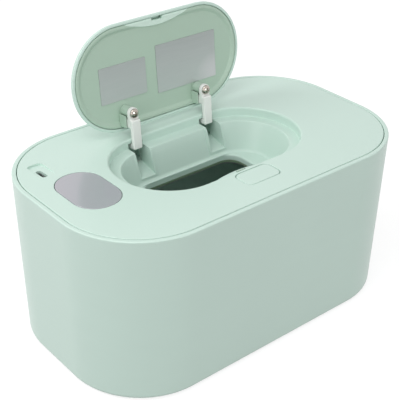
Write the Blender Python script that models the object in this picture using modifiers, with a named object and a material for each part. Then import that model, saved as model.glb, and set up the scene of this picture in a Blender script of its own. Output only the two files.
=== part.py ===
# Baby wipe warmer with a pop-up lid, modelled as it comes apart on a bench.
# Metres, +Z up, front towards -Y. The origin is on the table under the middle of the casing.
# Heights inside the top are given as depths below the top face. The lid is modelled closed,
# about its hinge axis, and an empty on that axis swings it open as it rests in use.

import math

import bmesh
import bpy
from mathutils import Matrix, Vector

# Shared clearances and cutting allowances
running_gap = 0.0003
assembly_gap = 0.0004
overrun = 0.0020
corner_steps = 10
small_corner_steps = 6
round_sides = 20
turned_steps = 16

# Casing, which holds the stack of wipes
casing_length = 0.2250
casing_depth = 0.1352
casing_height = 0.1049
corner_radius = 0.0499
draft_inset = 0.0022
base_edge_radius = 0.0030
casing_wall = 0.0026
floor_thickness = 0.0025
floor_edge_radius = 0.0015
rim_edge_radius = 0.0006
shoulder_width = 0.0024
shoulder_height = 0.0030
shoulder_slope = 0.0030

# Rubber feet, let into the base
foot_radius = 0.0060
foot_height = 0.0016
foot_proud = 0.0008
foot_from_end = 0.0345
foot_from_side = 0.0316

# Top cover: plate, skirt, lid seat, bowl and throat in one moulding
groove_width = 0.0004
cover_plate = 0.0022
cover_flange = 0.0026
cover_edge_radius = 0.0005
skirt_wall = 0.0020
skirt_depth = 0.0140
seat_half_x = 0.0623
seat_half_y = 0.0341
seat_centre_y = 0.0005
seat_depth = 0.0060
seat_edge_radius = 0.0016
stadium_flat = 0.0004
ledge_width = 0.0066
ledge_edge_radius = 0.0006
cover_wall = 0.0020
bowl_depth = 0.0242
bowl_taper = 0.0064
bowl_floor_radius = 0.0016
bowl_floor_end = 0.0118
bowl_floor_side = 0.0009
mouth_radius = 0.0100
lip_radius = 0.0010
throat_length = 0.0040

# Crescent in the front of the bowl, over the latch
crescent_half_width = 0.0190
crescent_reach = 0.0032
crescent_drop = 0.0003
crescent_depth = 0.0150

# Hinge: axis, pockets behind the bowl, pins and torsion springs
hinge_from_bend = 0.0014
hinge_behind_lid = 0.0081
open_angle = math.radians(95.7)
notch_half_width = 0.0053
pocket_half_width = 0.0073
pocket_wall = 0.0016
pocket_roof_depth = 0.0028
pocket_floor_depth = 0.0175
pocket_behind_axis = 0.0045
notch_front_depth = 0.0209
pin_radius = 0.0012
pin_bore_radius = 0.00145
pin_inset = 0.0003
coil_wire_radius = 0.0003
lid_coil_radius = 0.00195
lid_coil_turns = 2.75
lid_coil_pitch = 0.00103
lid_coil_side_gap = 0.00035
coil_points_per_turn = 8
anchor_leg_y = 0.0057
anchor_leg_top = 0.0038
anchor_foot_length = 0.0024

# Lid shell and liner
lid_gap = 0.0006
lid_thickness = 0.0057
lid_swing_clearance = 0.0011
lid_edge_width = 0.0010
lid_edge_height = 0.0008
lid_dome_width = 0.0090
lid_top_wall = 0.0020
lid_rim_width = 0.0018
lid_cavity_side = 0.0026
lid_cavity_slope = 0.0025
liner_gap = 0.00035
liner_bead_width = 0.0020
liner_bead_radius = 0.0005
liner_flank = 0.0020
liner_recess = 0.0009
liner_thickness = 0.0015
liner_side = 0.0016
liner_slope = 0.0013
pad_drop = 0.00005
catch_half_width = 0.0040
catch_slot = 0.0018
catch_from_front = 0.0028

# Lid bosses, guide walls and blank plates
boss_radius = 0.0033
boss_height = 0.0051
boss_from_rear = 0.0124
boss_hole_radius = 0.0016
guide_gap = 0.0003
guide_wall = 0.0010
guide_start = 0.0033
guide_end = 0.0107
guide_height = 0.0048
plate_thickness = 0.00025
plate_gap = 0.0001
plate_corner_radius = 0.0006
left_plate_from_end = 0.0184
left_plate_height = 0.0220
left_plate_inner_x = -0.0103
left_plate_from_rear = 0.0300
right_plate_from_end = 0.0187
right_plate_height = 0.0297
right_plate_inner_x = -0.0024
right_plate_from_rear = 0.0307

# Hinge arms and their screws
arm_half_width = 0.0031
arm_eye_radius = 0.0024
arm_leg_half = 0.0017
arm_back = 0.0070
arm_thickness = 0.0028
arm_end = 0.0086
arm_corner_radius = 0.0008
arm_head_start = 0.0035
arm_head_back = 0.0032
tab_half_width = 0.0034
tab_thickness = 0.0024
screw_head_radius = 0.0025
screw_head_height = 0.0015
screw_shank_radius = 0.0013
screw_shank_length = 0.0068
tab_hole_radius = 0.0017

# Button, its springs, the latch and their bracket
button_half_x = 0.0123
button_half_y = 0.00687
button_from_seat = 0.00263
button_radius = 0.0040
button_gap = 0.0004
button_top = 0.0016
button_skirt_wall = 0.0013
button_skirt_depth = 0.0055
button_edge_radius = 0.0005
button_tab_reach = 0.0014
button_tab_length = 0.0028
button_tab_thickness = 0.0011
button_travel = 0.0020
latch_travel = 0.0005
post_half_width = 0.0030
post_bottom_depth = 0.0126
post_slope_depth = 0.0075
post_foot_offset = 0.0023
post_foot_width = 0.0030
cam_gap = 0.00025
latch_half_width = 0.0052
latch_thickness = 0.0015
latch_depth = 0.0095
latch_bar_width = 0.0032
hook_half_width = 0.0032
hook_thickness = 0.0007
hook_rise = 0.0026
hook_offset = 0.0001
hook_nose = 0.0003
hook_nose_height = 0.0010
channel_side_gap = 0.0012
channel_front_gap = 0.0012
channel_back_gap = 0.0008
channel_depth = 0.0180
bracket_depth = 0.0129
bracket_thickness = 0.0012
bracket_half_x = 0.0205
bracket_reach_front = 0.0037
bracket_reach_back = 0.0111
bracket_rail_width = 0.0015
bracket_rail_length = 0.0050
spring_x = 0.0083
spring_radius = 0.0019
spring_turns = 6
spring_peg_radius = 0.0011
spring_peg_height = 0.0012
bracket_boss_x = 0.0175
bracket_boss_offset = 0.0021
small_boss_radius = 0.0024

# Tray under the cover, with the heater below it
tray_thickness = 0.0018
tray_wall_inset = 0.0185
tray_edge_radius = 0.0015
tray_mouth_gap = 0.0006
film_thickness = 0.0003
film_inset = 0.0300
film_mouth_gap = 0.0050
heater_thickness = 0.0012
heater_inset = 0.0220
heater_mouth_gap = 0.0025
heater_screw_inset = 0.0260
cover_boss_radius = 0.0030
cover_boss_inset = 0.0122
cover_boss_angle = math.radians(60)
small_screw_radius = 0.0010
small_screw_hole = 0.00135
small_head_radius = 0.0022
small_head_height = 0.0013
small_screw_length = 0.0080
heater_screw_length = 0.0024

# Display window, display module, board and power inlet
window_from_end = 0.0153
window_from_seat = 0.0072
window_from_front = 0.0474
window_from_rear = 0.0462
window_flat = 0.00065
window_lip = 0.0015
window_lip_thickness = 0.0010
window_edge_radius = 0.0004
display_shares = (170 / 277, 25 / 52)
board_from_end = 0.0145
board_from_seat = 0.0067
board_from_front = 0.0356
board_from_rear = 0.0256
board_radius = 0.0100
board_depth = 0.0100
board_thickness = 0.0016
board_boss_shares = ((41 / 58, 12 / 185), (49 / 58, 31 / 37))
chip_half = 0.0035
chip_height = 0.0012
chip_shares = (15 / 29, 25 / 37)
inlet_from_end = 0.0191
inlet_from_rear = 0.0363
inlet_half_x = 0.0016
inlet_half_y = 0.0045
inlet_wall = 0.0003
inlet_tongue = 0.0004
inlet_tongue_half = 0.0033
inlet_slot_half_x = 0.0017
inlet_slot_half_y = 0.00472
inlet_recess_left = 0.0034
inlet_recess_right = 0.0061
inlet_recess_front = 0.0059
inlet_recess_rear = 0.0115
inlet_recess_depth = 0.0012
inlet_recess_radius = 0.0025

# Heater wiring, temperature sensor and thermal cut-off
wire_radius = 0.0006
wire_hole_radius = 0.0028
wire_hole_beside_board = 0.0050
wire_hole_from_board_rear = 0.0090
wire_spread = 0.0012
sensor_radius = 0.0015
sensor_length = 0.0060
sensor_beyond_seat = 0.0077
sensor_from_seat_wall = 0.0096
lead_share = 3 / 8
cutoff_radius = 0.0020
cutoff_length = 0.0110
cutoff_within_seat = 0.0063
cutoff_from_seat_front = 0.0006

# Worked out from the sizes above
top = foot_proud + casing_height
base = foot_proud
half_x = casing_length / 2
half_y = casing_depth / 2
cover_inset = casing_wall + groove_width
shoulder_depth = cover_flange + running_gap
skirt_inset = casing_wall + shoulder_width + assembly_gap + running_gap
lid_half_x = seat_half_x - lid_gap
lid_half_y = seat_half_y - lid_gap - lid_swing_clearance
lid_rear_y = seat_centre_y + lid_half_y
hinge_y = lid_rear_y + hinge_behind_lid
hinge_x = seat_half_x - seat_half_y + stadium_flat - hinge_from_bend
hinge_z = top - lid_thickness
seat_wall_y = seat_centre_y + seat_half_y
pocket_back_y = hinge_y + pocket_behind_axis
tab_back = boss_height + running_gap
liner_inset = lid_rim_width + liner_gap
bead_inner_inset = liner_inset + liner_bead_width
catch_y = lid_rear_y - 2 * lid_half_y + catch_from_front
hook_y = catch_y + hook_offset
flange_depth = skirt_depth + running_gap
mouth_half_x = seat_half_x - ledge_width - bowl_taper - bowl_floor_end
mouth_half_y = seat_half_y - ledge_width - bowl_taper - bowl_floor_side
throat_depth = bowl_depth + throat_length
tray_floor_depth = throat_depth + assembly_gap
film_depth = tray_floor_depth + tray_thickness + running_gap
heater_depth = film_depth + film_thickness + running_gap
cam_slope = latch_travel / button_travel
foot_x = half_x - foot_from_end
foot_y = half_y - foot_from_side
seat_front_y = seat_centre_y - seat_half_y
button_centre_y = seat_front_y - button_from_seat - button_half_y
post_foot_front = button_centre_y + post_foot_offset
bracket_front_y = button_centre_y - bracket_reach_front
bracket_back_y = button_centre_y + bracket_reach_back
bracket_boss_y = button_centre_y + bracket_boss_offset
left_plate_width = left_plate_inner_x + lid_half_x - left_plate_from_end
left_plate_x = left_plate_inner_x - left_plate_width / 2
right_plate_width = lid_half_x - right_plate_from_end - right_plate_inner_x
right_plate_x = right_plate_inner_x + right_plate_width / 2
window_low = (window_from_end - half_x, window_from_front - half_y)
window_high = (-seat_half_x - window_from_seat, half_y - window_from_rear)
window_half_x, window_half_y = ((high - low) / 2 for low, high in zip(window_low, window_high))
window_centre_x, window_centre_y = ((low + high) / 2 for low, high in zip(window_low, window_high))
window_radius = min(window_half_x, window_half_y) - window_flat
display_half_x = window_half_x * display_shares[0]
display_half_y = window_half_y * display_shares[1]
board_low_x, board_high_x = board_from_end - half_x, -seat_half_x - board_from_seat
board_low_y, board_high_y = board_from_front - half_y, half_y - board_from_rear
inlet_x = inlet_from_end - half_x
inlet_y = half_y - inlet_from_rear
inlet_recess_low_x, inlet_recess_high_x = inlet_x - inlet_recess_left, inlet_x + inlet_recess_right
inlet_recess_low_y, inlet_recess_high_y = inlet_y - inlet_recess_front, inlet_y + inlet_recess_rear
wire_hole = (board_high_x + wire_hole_beside_board, board_high_y - wire_hole_from_board_rear)
sensor_place = (seat_half_x + sensor_beyond_seat, seat_wall_y - sensor_from_seat_wall)
cutoff_place = (seat_half_x - cutoff_within_seat, seat_front_y + cutoff_from_seat_front)


# Collections, finishes and plain helpers

for leftover in list(bpy.data.objects):
    bpy.data.objects.remove(leftover)

part_collection = bpy.data.collections.new("wipe_warmer")
helper_collection = bpy.data.collections.new("cutters")
bpy.context.scene.collection.children.link(part_collection)
bpy.context.scene.collection.children.link(helper_collection)


def finish_look(name, colour, roughness, metallic=0.0, alpha=1.0):
    look = bpy.data.materials.new(name)
    look.use_nodes = True
    shader = look.node_tree.nodes["Principled BSDF"]
    shader.inputs["Base Color"].default_value = (*colour, 1.0)
    shader.inputs["Roughness"].default_value = roughness
    shader.inputs["Metallic"].default_value = metallic
    shader.inputs["Alpha"].default_value = alpha
    return look


mint_shell = finish_look("mint_shell", (0.56, 0.74, 0.64), 0.38)
mint_satin = finish_look("mint_satin", (0.47, 0.63, 0.53), 0.45)
white_nylon = finish_look("white_nylon", (0.80, 0.82, 0.78), 0.35)
screw_steel = finish_look("screw_steel", (0.62, 0.60, 0.57), 0.25, 1.0)
label_silver = finish_look("label_silver", (0.52, 0.54, 0.54), 0.35, 0.9)
window_grey = finish_look("window_grey", (0.36, 0.40, 0.43), 0.12)
dark_inside = finish_look("dark_inside", (0.20, 0.27, 0.18), 0.60)
heater_metal = finish_look("heater_metal", (0.70, 0.71, 0.72), 0.40, 1.0)
film_amber = finish_look("film_amber", (0.45, 0.22, 0.05), 0.40)
board_green = finish_look("board_green", (0.02, 0.18, 0.07), 0.50)
part_black = finish_look("part_black", (0.02, 0.02, 0.02), 0.50)
foot_rubber = finish_look("foot_rubber", (0.30, 0.33, 0.32), 0.80)
wire_white = finish_look("wire_white", (0.75, 0.75, 0.72), 0.50)


def place_mesh(name, source, look):
    data = bpy.data.meshes.new(name)
    source.to_mesh(data)
    source.free()
    data.shade_smooth()
    data.set_sharp_from_angle(angle=math.radians(32))
    shape = bpy.data.objects.new(name, data)
    store(shape, look)
    return shape


def store(shape, look):
    if look is None:
        helper_collection.objects.link(shape)
        shape.hide_render = True
        shape.display_type = "WIRE"
    else:
        part_collection.objects.link(shape)
        shape.data.materials.append(look)


def boolean(target, tool, operation):
    change = target.modifiers.new(tool.name, "BOOLEAN")
    change.operation = operation
    change.solver = "EXACT"
    change.object = tool


def cut(target, *tools):
    for tool in tools:
        boolean(target, tool, "DIFFERENCE")


def join(target, *tools):
    for tool in tools:
        boolean(target, tool, "UNION")


def box(name, low, high, look=None):
    source = bmesh.new()
    bmesh.ops.create_cube(source, size=1)
    low, high = Vector(low), Vector(high)
    spread = Matrix.Diagonal((*(high - low), 1))
    bmesh.ops.transform(source, matrix=Matrix.Translation((low + high) / 2) @ spread, verts=source.verts)
    return place_mesh(name, source, look)


def rod(name, centre, axis, radius, length, look=None, sides=round_sides):
    source = bmesh.new()
    turn = Vector((0, 0, 1)).rotation_difference(Vector(axis)).to_matrix().to_4x4()
    bmesh.ops.create_cone(source, cap_ends=True, segments=sides, radius1=radius, radius2=radius,
                          depth=length, matrix=Matrix.Translation(centre) @ turn)
    return place_mesh(name, source, look)


def turned(name, profile, place, direction, look):
    # The profile is (radius, height) from the top of the axis down its outer side.
    data = bpy.data.meshes.new(name)
    points = [(radius, 0, height) for radius, height in profile]
    data.from_pydata(points, [(i, i + 1) for i in range(len(points) - 1)], [])
    shape = bpy.data.objects.new(name, data)
    store(shape, look)
    shape.location = place
    shape.rotation_mode = "QUATERNION"
    shape.rotation_quaternion = Vector((0, 0, 1)).rotation_difference(Vector(direction))
    spin = shape.modifiers.new("turn", "SCREW")
    spin.steps = spin.render_steps = turned_steps
    spin.use_merge_vertices = True
    spin.merge_threshold = 0.00001
    spin.use_smooth_shade = True
    return shape


def rounded(reach_x, reach_y, radius, centre_x=0.0, centre_y=0.0, steps=small_corner_steps):
    points = []
    for quarter in range(4):
        side_x = 1 if quarter in (0, 3) else -1
        side_y = 1 if quarter < 2 else -1
        for step in range(steps + 1):
            angle = math.pi / 2 * (quarter + step / steps)
            points.append((centre_x + side_x * (reach_x - radius) + radius * math.cos(angle),
                           centre_y + side_y * (reach_y - radius) + radius * math.sin(angle)))
    return points


def at_height(outline, z):
    return [(x, y, z) for x, y in outline]


def casing_ring(inset, z):
    return at_height(rounded(half_x - inset, half_y - inset, corner_radius - inset, steps=corner_steps), z)


def plate_ring(inset, depth):
    return casing_ring(inset, top - depth)


def stadium(reach_x, reach_y, centre_y):
    return rounded(reach_x, reach_y, reach_y - stadium_flat, 0.0, centre_y, corner_steps)


def seat_ring(growth, depth):
    return at_height(stadium(seat_half_x + growth, seat_half_y + growth, seat_centre_y), top - depth)


def mouth_ring(growth, depth):
    outline = rounded(mouth_half_x + growth, mouth_half_y + growth, mouth_radius + growth, 0.0,
                      seat_centre_y, corner_steps)
    return at_height(outline, top - depth)


def quarter_arc(start, corner, end, steps=4):
    # Points on a round edge from start to end, whose square corner is given.
    points = []
    for step in range(steps + 1):
        angle = math.pi / 2 * step / steps
        weight_end = 1 - math.cos(angle)
        weight_start = 1 - math.sin(angle)
        first = start[0] + (corner[0] - start[0]) * math.sin(angle) + (end[0] - corner[0]) * weight_end
        second = start[1] + (corner[1] - start[1]) * math.sin(angle) + (end[1] - corner[1]) * weight_end
        points.append((first, second))
    return points


def loft(name, rings, look=None, closed=False):
    source = bmesh.new()
    loops = [[source.verts.new(point) for point in ring] for ring in rings]
    pairs = list(zip(loops, loops[1:]))
    if closed:
        pairs.append((loops[-1], loops[0]))
    for lower, upper in pairs:
        for index in range(len(lower)):
            after = (index + 1) % len(lower)
            source.faces.new((lower[index], lower[after], upper[after], upper[index]))
    if not closed:
        source.faces.new(loops[0])
        source.faces.new(loops[-1])
    bmesh.ops.recalc_face_normals(source, faces=source.faces)
    if source.calc_volume(signed=True) < 0:
        bmesh.ops.reverse_faces(source, faces=source.faces)
    return place_mesh(name, source, look)


def upright(name, outline, low_z, high_z, look=None):
    return loft(name, [at_height(outline, low_z), at_height(outline, high_z)], look)


def side_prism(name, outline, low_x, high_x, look=None):
    # The outline is (y, z), drawn out along X.
    return loft(name, [[(low_x, y, z) for y, z in outline], [(high_x, y, z) for y, z in outline]], look)


def tube(name, points, radius, look, resolution=1):
    curve = bpy.data.curves.new(name, "CURVE")
    curve.dimensions = "3D"
    curve.bevel_depth = radius
    curve.bevel_resolution = resolution
    curve.use_fill_caps = True
    spline = curve.splines.new("POLY")
    spline.points.add(len(points) - 1)
    for target, point in zip(spline.points, points):
        target.co = (*point, 1.0)
    shape = bpy.data.objects.new(name, curve)
    store(shape, look)
    return shape


def smooth_route(stops, steps=4):
    # A smooth curve through the stops, the ends running straight.
    stops = [Vector(stop) for stop in stops]
    path = [2 * stops[0] - stops[1]] + stops + [2 * stops[-1] - stops[-2]]
    points = []
    for a, b, c, d in zip(path, path[1:], path[2:], path[3:]):
        for step in range(steps):
            t = step / steps
            points.append(((2 * b) + (c - a) * t + (2 * a - 5 * b + 4 * c - d) * t * t
                           + (3 * b - a - 3 * c + d) * t ** 3) / 2)
    points.append(stops[-1])
    return points


def least_gap(name, points, radius, skip):
    nearest = min((points[i] - points[j]).length
                  for i in range(len(points)) for j in range(i + skip, len(points)))
    print(f"{name}: least gap to itself {1000 * (nearest - 2 * radius):.2f} mm")


def small_screw(name, place, direction, length):
    profile = [(0, small_head_height), (small_head_radius * 0.6, small_head_height * 0.95),
               (small_head_radius, small_head_height * 0.45), (small_head_radius, 0),
               (small_screw_radius, 0), (small_screw_radius, -length), (0, -length)]
    return turned(name, profile, place, direction, screw_steel)


# Casing and feet

def casing_inset(z):
    return draft_inset * (top - z) / casing_height


def build_casing():
    outer_low = casing_inset(base)
    inner_low = casing_inset(base + floor_thickness) + casing_wall
    profile = quarter_arc((outer_low + base_edge_radius, base), (outer_low, base),
                          (casing_inset(base + base_edge_radius), base + base_edge_radius))
    profile += quarter_arc((0, top - rim_edge_radius), (0, top), (rim_edge_radius, top), 2)
    profile += quarter_arc((casing_wall - rim_edge_radius, top), (casing_wall, top),
                           (casing_wall, top - rim_edge_radius), 2)
    shoulder_z = top - shoulder_depth
    shoulder_low = shoulder_z - shoulder_height
    wall_z = shoulder_low - shoulder_slope
    profile += [(casing_wall, shoulder_z), (casing_wall + shoulder_width, shoulder_z),
                (casing_wall + shoulder_width, shoulder_low), (casing_wall + casing_inset(wall_z), wall_z)]
    floor_z = base + floor_thickness
    profile += quarter_arc((inner_low, floor_z + floor_edge_radius), (inner_low, floor_z),
                           (inner_low + floor_edge_radius, floor_z), 3)
    casing = loft("outer_casing", [casing_ring(inset, z) for inset, z in profile], mint_shell)
    for side_x in (-1, 1):
        for side_y in (-1, 1):
            place = (side_x * foot_x, side_y * foot_y)
            side = ("rear" if side_y > 0 else "front") + ("_right" if side_x > 0 else "_left")
            foot_centre = (*place, foot_height / 2)
            rod("foot_" + side, foot_centre, (0, 0, 1), foot_radius, foot_height, foot_rubber)
            pocket_top = foot_height + running_gap
            pocket = rod("foot_pocket_" + side, (*place, (pocket_top - overrun) / 2 + 0), (0, 0, 1),
                         foot_radius + running_gap, pocket_top + overrun)
            cut(casing, pocket)
    return casing


# Top cover

def cover_screw_places():
    reach = corner_radius - cover_boss_inset
    corner_x = half_x - corner_radius + reach * math.cos(cover_boss_angle)
    corner_y = half_y - corner_radius + reach * math.sin(cover_boss_angle)
    middle_y = half_y - cover_boss_inset
    return [(-corner_x, -corner_y), (0, -middle_y), (corner_x, -corner_y),
            (-corner_x, corner_y), (0, middle_y), (corner_x, corner_y)]


def crescent_outline(half_width, reach, edge_y, embed):
    # A lens whose round side bulges towards +Y from a chord at edge_y.
    radius = (half_width ** 2 + reach ** 2) / (2 * reach)
    spread = math.asin(half_width / radius)
    steps = 12
    arc = []
    for step in range(steps + 1):
        angle = spread * (1 - 2 * step / steps)
        arc.append((radius * math.sin(angle), edge_y + reach - radius + radius * math.cos(angle)))
    return arc + [(-half_width, edge_y - embed), (half_width, edge_y - embed)]


def build_cover():
    rings = [plate_ring(cover_inset, cover_flange)]
    rings += [plate_ring(*point) for point in quarter_arc(
        (cover_inset, cover_edge_radius), (cover_inset, 0), (cover_inset + cover_edge_radius, 0), 2)]
    rings += [seat_ring(*point) for point in quarter_arc(
        (seat_edge_radius, 0), (0, 0), (0, seat_edge_radius))]
    rings += [seat_ring(0, seat_depth)]
    rim = -ledge_width
    rings += [seat_ring(*point) for point in quarter_arc(
        (rim + ledge_edge_radius, seat_depth), (rim, seat_depth), (rim, seat_depth + ledge_edge_radius), 2)]
    foot = rim - bowl_taper
    rings += [seat_ring(foot, bowl_depth - bowl_floor_radius),
              seat_ring(foot - bowl_floor_radius * 0.3, bowl_depth - bowl_floor_radius * 0.3)]
    rings += [mouth_ring(*point) for point in quarter_arc(
        (0, bowl_depth), (-lip_radius, bowl_depth), (-lip_radius, bowl_depth + lip_radius), 3)]
    rings += [mouth_ring(-lip_radius, throat_depth), mouth_ring(cover_wall - lip_radius, throat_depth),
              mouth_ring(cover_wall - lip_radius, bowl_depth + cover_wall)]
    outside = foot + cover_wall
    rings += [seat_ring(outside, bowl_depth + cover_wall), seat_ring(outside, bowl_depth),
              seat_ring(rim + cover_wall, seat_depth + cover_wall),
              seat_ring(cover_wall, seat_depth + cover_wall), seat_ring(cover_wall, cover_plate)]
    rings += [plate_ring(skirt_inset + skirt_wall, cover_plate),
              plate_ring(skirt_inset + skirt_wall, skirt_depth), plate_ring(skirt_inset, skirt_depth),
              plate_ring(skirt_inset, cover_flange)]
    cover = loft("top_cover", rings, mint_shell, closed=True)
    add_crescent(cover)
    add_cover_bosses(cover)
    add_hinge_pockets(cover)
    cut_window(cover)
    cut_inlet(cover)
    cut_button_well(cover)
    return cover


def add_crescent(cover):
    edge_y = seat_centre_y - seat_half_y + ledge_width
    outline = crescent_outline(crescent_half_width, crescent_reach, edge_y, ledge_edge_radius)
    high, low = top - seat_depth - crescent_drop, top - crescent_depth
    solid = upright("crescent", outline, low, high)
    join(cover, solid)
    channel = box("hook_channel",
                  (-hook_half_width - channel_side_gap, hook_y - hook_thickness / 2 - channel_front_gap,
                   top - channel_depth),
                  (hook_half_width + channel_side_gap, hook_y + hook_thickness / 2 + channel_back_gap,
                   top - seat_depth + overrun))
    cut(cover, channel)


def add_cover_bosses(cover):
    for index, place in enumerate(cover_screw_places(), 1):
        add_boss(cover, f"cover_boss_{index}", place, cover_boss_radius, skirt_depth)
    for side in (-1, 1):
        place = (side * bracket_boss_x, bracket_boss_y)
        add_boss(cover, f"bracket_boss_{side}", place, small_boss_radius, bracket_depth - running_gap)
    for index, place in enumerate(board_boss_places(), 1):
        add_boss(cover, f"board_boss_{index}", place, small_boss_radius, board_depth - running_gap)


def on_board(shares):
    return (board_low_x + (board_high_x - board_low_x) * shares[0],
            board_low_y + (board_high_y - board_low_y) * shares[1])


def board_boss_places():
    return [on_board(shares) for shares in board_boss_shares]


def add_boss(cover, name, place, radius, depth):
    root = cover_plate / 2
    middle = top - (root + depth) / 2
    boss = rod(name, (*place, middle), (0, 0, 1), radius, depth - root)
    join(cover, boss)
    bottom = top - depth - overrun
    roof = top - cover_plate - running_gap
    bore = rod(name + "_bore", (*place, (bottom + roof) / 2), (0, 0, 1), small_screw_hole, roof - bottom)
    cut(cover, bore)


def add_hinge_pockets(cover):
    for side, label in ((-1, "left"), (1, "right")):
        middle = side * hinge_x
        outer = pocket_half_width + pocket_wall
        house = box("pocket_house_" + label,
                    (middle - outer, seat_wall_y + pocket_wall / 4, top - pocket_floor_depth - pocket_wall),
                    (middle + outer, pocket_back_y + pocket_wall, top - cover_plate / 2))
        apron_half = notch_half_width + pocket_wall
        front_y = seat_wall_y - ledge_width - bowl_taper
        apron = side_prism("pocket_apron_" + label,
                           [(seat_wall_y + pocket_wall, top - seat_depth - cover_wall / 2),
                            (seat_wall_y + pocket_wall, top - pocket_floor_depth - pocket_wall * 0.9),
                            (front_y, top - notch_front_depth - pocket_wall),
                            (front_y, top - notch_front_depth),
                            (seat_wall_y - ledge_width - cover_wall / 2, top - seat_depth - cover_wall / 2)],
                           middle - apron_half, middle + apron_half)
        join(cover, house, apron)
        tunnel = box("pocket_tunnel_" + label,
                     (middle - pocket_half_width, seat_wall_y + pocket_wall, top - pocket_floor_depth),
                     (middle + pocket_half_width, pocket_back_y, top - pocket_roof_depth))
        slot = box("pocket_slot_" + label,
                   (middle - notch_half_width, seat_wall_y - pocket_wall, top - pocket_floor_depth),
                   (middle + notch_half_width, seat_wall_y + pocket_wall + overrun, top - pocket_roof_depth))
        notch = side_prism("notch_" + label,
                           [(seat_wall_y, top - seat_depth + running_gap),
                            (seat_wall_y, top - pocket_floor_depth),
                            (front_y - overrun, top - notch_front_depth - overrun / 4),
                            (front_y - overrun, top - seat_depth + running_gap)],
                           middle - notch_half_width, middle + notch_half_width)
        bore = rod("pin_bore_" + label, (middle, hinge_y, hinge_z), (1, 0, 0), pin_bore_radius,
                   2 * (outer + overrun))
        cut(cover, tunnel, slot, notch, bore)


def cut_window(cover):
    opening = rounded(window_half_x + running_gap, window_half_y + running_gap, window_radius + running_gap,
                      window_centre_x, window_centre_y)
    cut(cover, upright("window_opening", opening, top - cover_plate - overrun, top + overrun))


def cut_inlet(cover):
    slot = rounded(inlet_slot_half_x, inlet_slot_half_y, inlet_slot_half_x - stadium_flat / 4,
                   inlet_x, inlet_y)
    cut(cover, upright("inlet_slot", slot, top - cover_plate - overrun, top + overrun))
    middle_x = (inlet_recess_low_x + inlet_recess_high_x) / 2
    middle_y = (inlet_recess_low_y + inlet_recess_high_y) / 2
    reach_x = (inlet_recess_high_x - inlet_recess_low_x) / 2
    reach_y = (inlet_recess_high_y - inlet_recess_low_y) / 2
    outline = rounded(reach_x, reach_y, inlet_recess_radius, middle_x, middle_y)
    rise = inlet_recess_depth / (2 * reach_y)
    floor = [(x, y, top - (y - inlet_recess_low_y) * rise) for x, y in outline]
    cut(cover, loft("inlet_recess", [floor, at_height(outline, top + overrun)]))


def cut_button_well(cover):
    opening = rounded(button_half_x + button_gap, button_half_y + button_gap, button_radius + button_gap,
                      0.0, button_centre_y)
    cut(cover, upright("button_well", opening, top - cover_plate - overrun, top + overrun))


# Tray, heater, sensor and wiring

def build_tray():
    wall = tray_wall_inset + tray_thickness
    under = tray_floor_depth + tray_thickness
    rings = [plate_ring(skirt_inset, flange_depth), plate_ring(wall, flange_depth),
             plate_ring(wall, tray_floor_depth), mouth_ring(tray_mouth_gap, tray_floor_depth),
             mouth_ring(tray_mouth_gap, under)]
    rings += [plate_ring(*point) for point in quarter_arc(
        (tray_wall_inset + tray_edge_radius, under), (tray_wall_inset, under),
        (tray_wall_inset, under - tray_edge_radius), 2)]
    rings += [plate_ring(tray_wall_inset, flange_depth + tray_thickness),
              plate_ring(skirt_inset, flange_depth + tray_thickness)]
    tray = loft("heater_tray", rings, mint_satin, closed=True)
    for index, place in enumerate(cover_screw_places(), 1):
        hole = rod(f"tray_hole_{index}", (*place, top - flange_depth - tray_thickness / 2), (0, 0, 1),
                   small_screw_hole, tray_thickness + overrun)
        cut(tray, hole)
        head = top - flange_depth - tray_thickness - running_gap
        small_screw(f"cover_screw_{index}", (*place, head), (0, 0, -1), small_screw_length)
    floor_middle = top - tray_floor_depth - tray_thickness / 2
    cut(tray, rod("tray_wire_hole", (*wire_hole, floor_middle), (0, 0, 1), wire_hole_radius,
                  tray_thickness + overrun))
    for index, place in enumerate(heater_screw_places(), 1):
        cut(tray, rod(f"tray_heater_hole_{index}", (*place, floor_middle), (0, 0, 1), small_screw_hole,
                      tray_thickness + overrun))
    return tray


def heater_screw_places():
    reach_x, reach_y = half_x - heater_screw_inset, half_y - heater_screw_inset
    return [(-reach_x, 0), (reach_x, 0), (0, -reach_y), (0, reach_y)]


def build_heater():
    film_under = film_depth + film_thickness
    loft("heating_film", [plate_ring(film_inset, film_depth), mouth_ring(film_mouth_gap, film_depth),
                          mouth_ring(film_mouth_gap, film_under), plate_ring(film_inset, film_under)],
         film_amber, closed=True)
    under = heater_depth + heater_thickness
    plate = loft("heater_plate", [plate_ring(heater_inset, heater_depth),
                                  mouth_ring(heater_mouth_gap, heater_depth),
                                  mouth_ring(heater_mouth_gap, under), plate_ring(heater_inset, under)],
                 heater_metal, closed=True)
    for index, place in enumerate(heater_screw_places(), 1):
        cut(plate, rod(f"plate_hole_{index}", (*place, top - heater_depth), (0, 0, 1), small_screw_hole,
                       heater_thickness + 2 * overrun))
        small_screw(f"heater_screw_{index}", (*place, top - under - running_gap), (0, 0, -1),
                    heater_screw_length)


def build_sensing():
    rest = top - tray_floor_depth + running_gap
    rod("temperature_sensor", (*sensor_place, rest + sensor_radius), (0, 1, 0), sensor_radius, sensor_length,
        part_black)
    rod("thermal_cutoff", (*cutoff_place, rest + cutoff_radius), (1, 0, 0), cutoff_radius, cutoff_length,
        heater_metal)
    board_under = top - board_depth - board_thickness - running_gap
    film_top = top - film_depth + running_gap
    hole_x, hole_y = wire_hole
    for name, side in (("heater_wire_live", -1), ("heater_wire_return", 1)):
        start_x = board_high_x - wire_spread * (2 - side)
        start = Vector((start_x, hole_y, board_under))
        end = Vector((hole_x + side * wire_spread, hole_y, film_top))
        drop = (board_under - film_top) / 4
        stops = [start, start - Vector((0, 0, drop)), (start + end) / 2, end + Vector((0, 0, drop)), end]
        tube(name, smooth_route(stops), wire_radius, wire_white)
    build_sensor_lead(rest, board_under)


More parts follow.
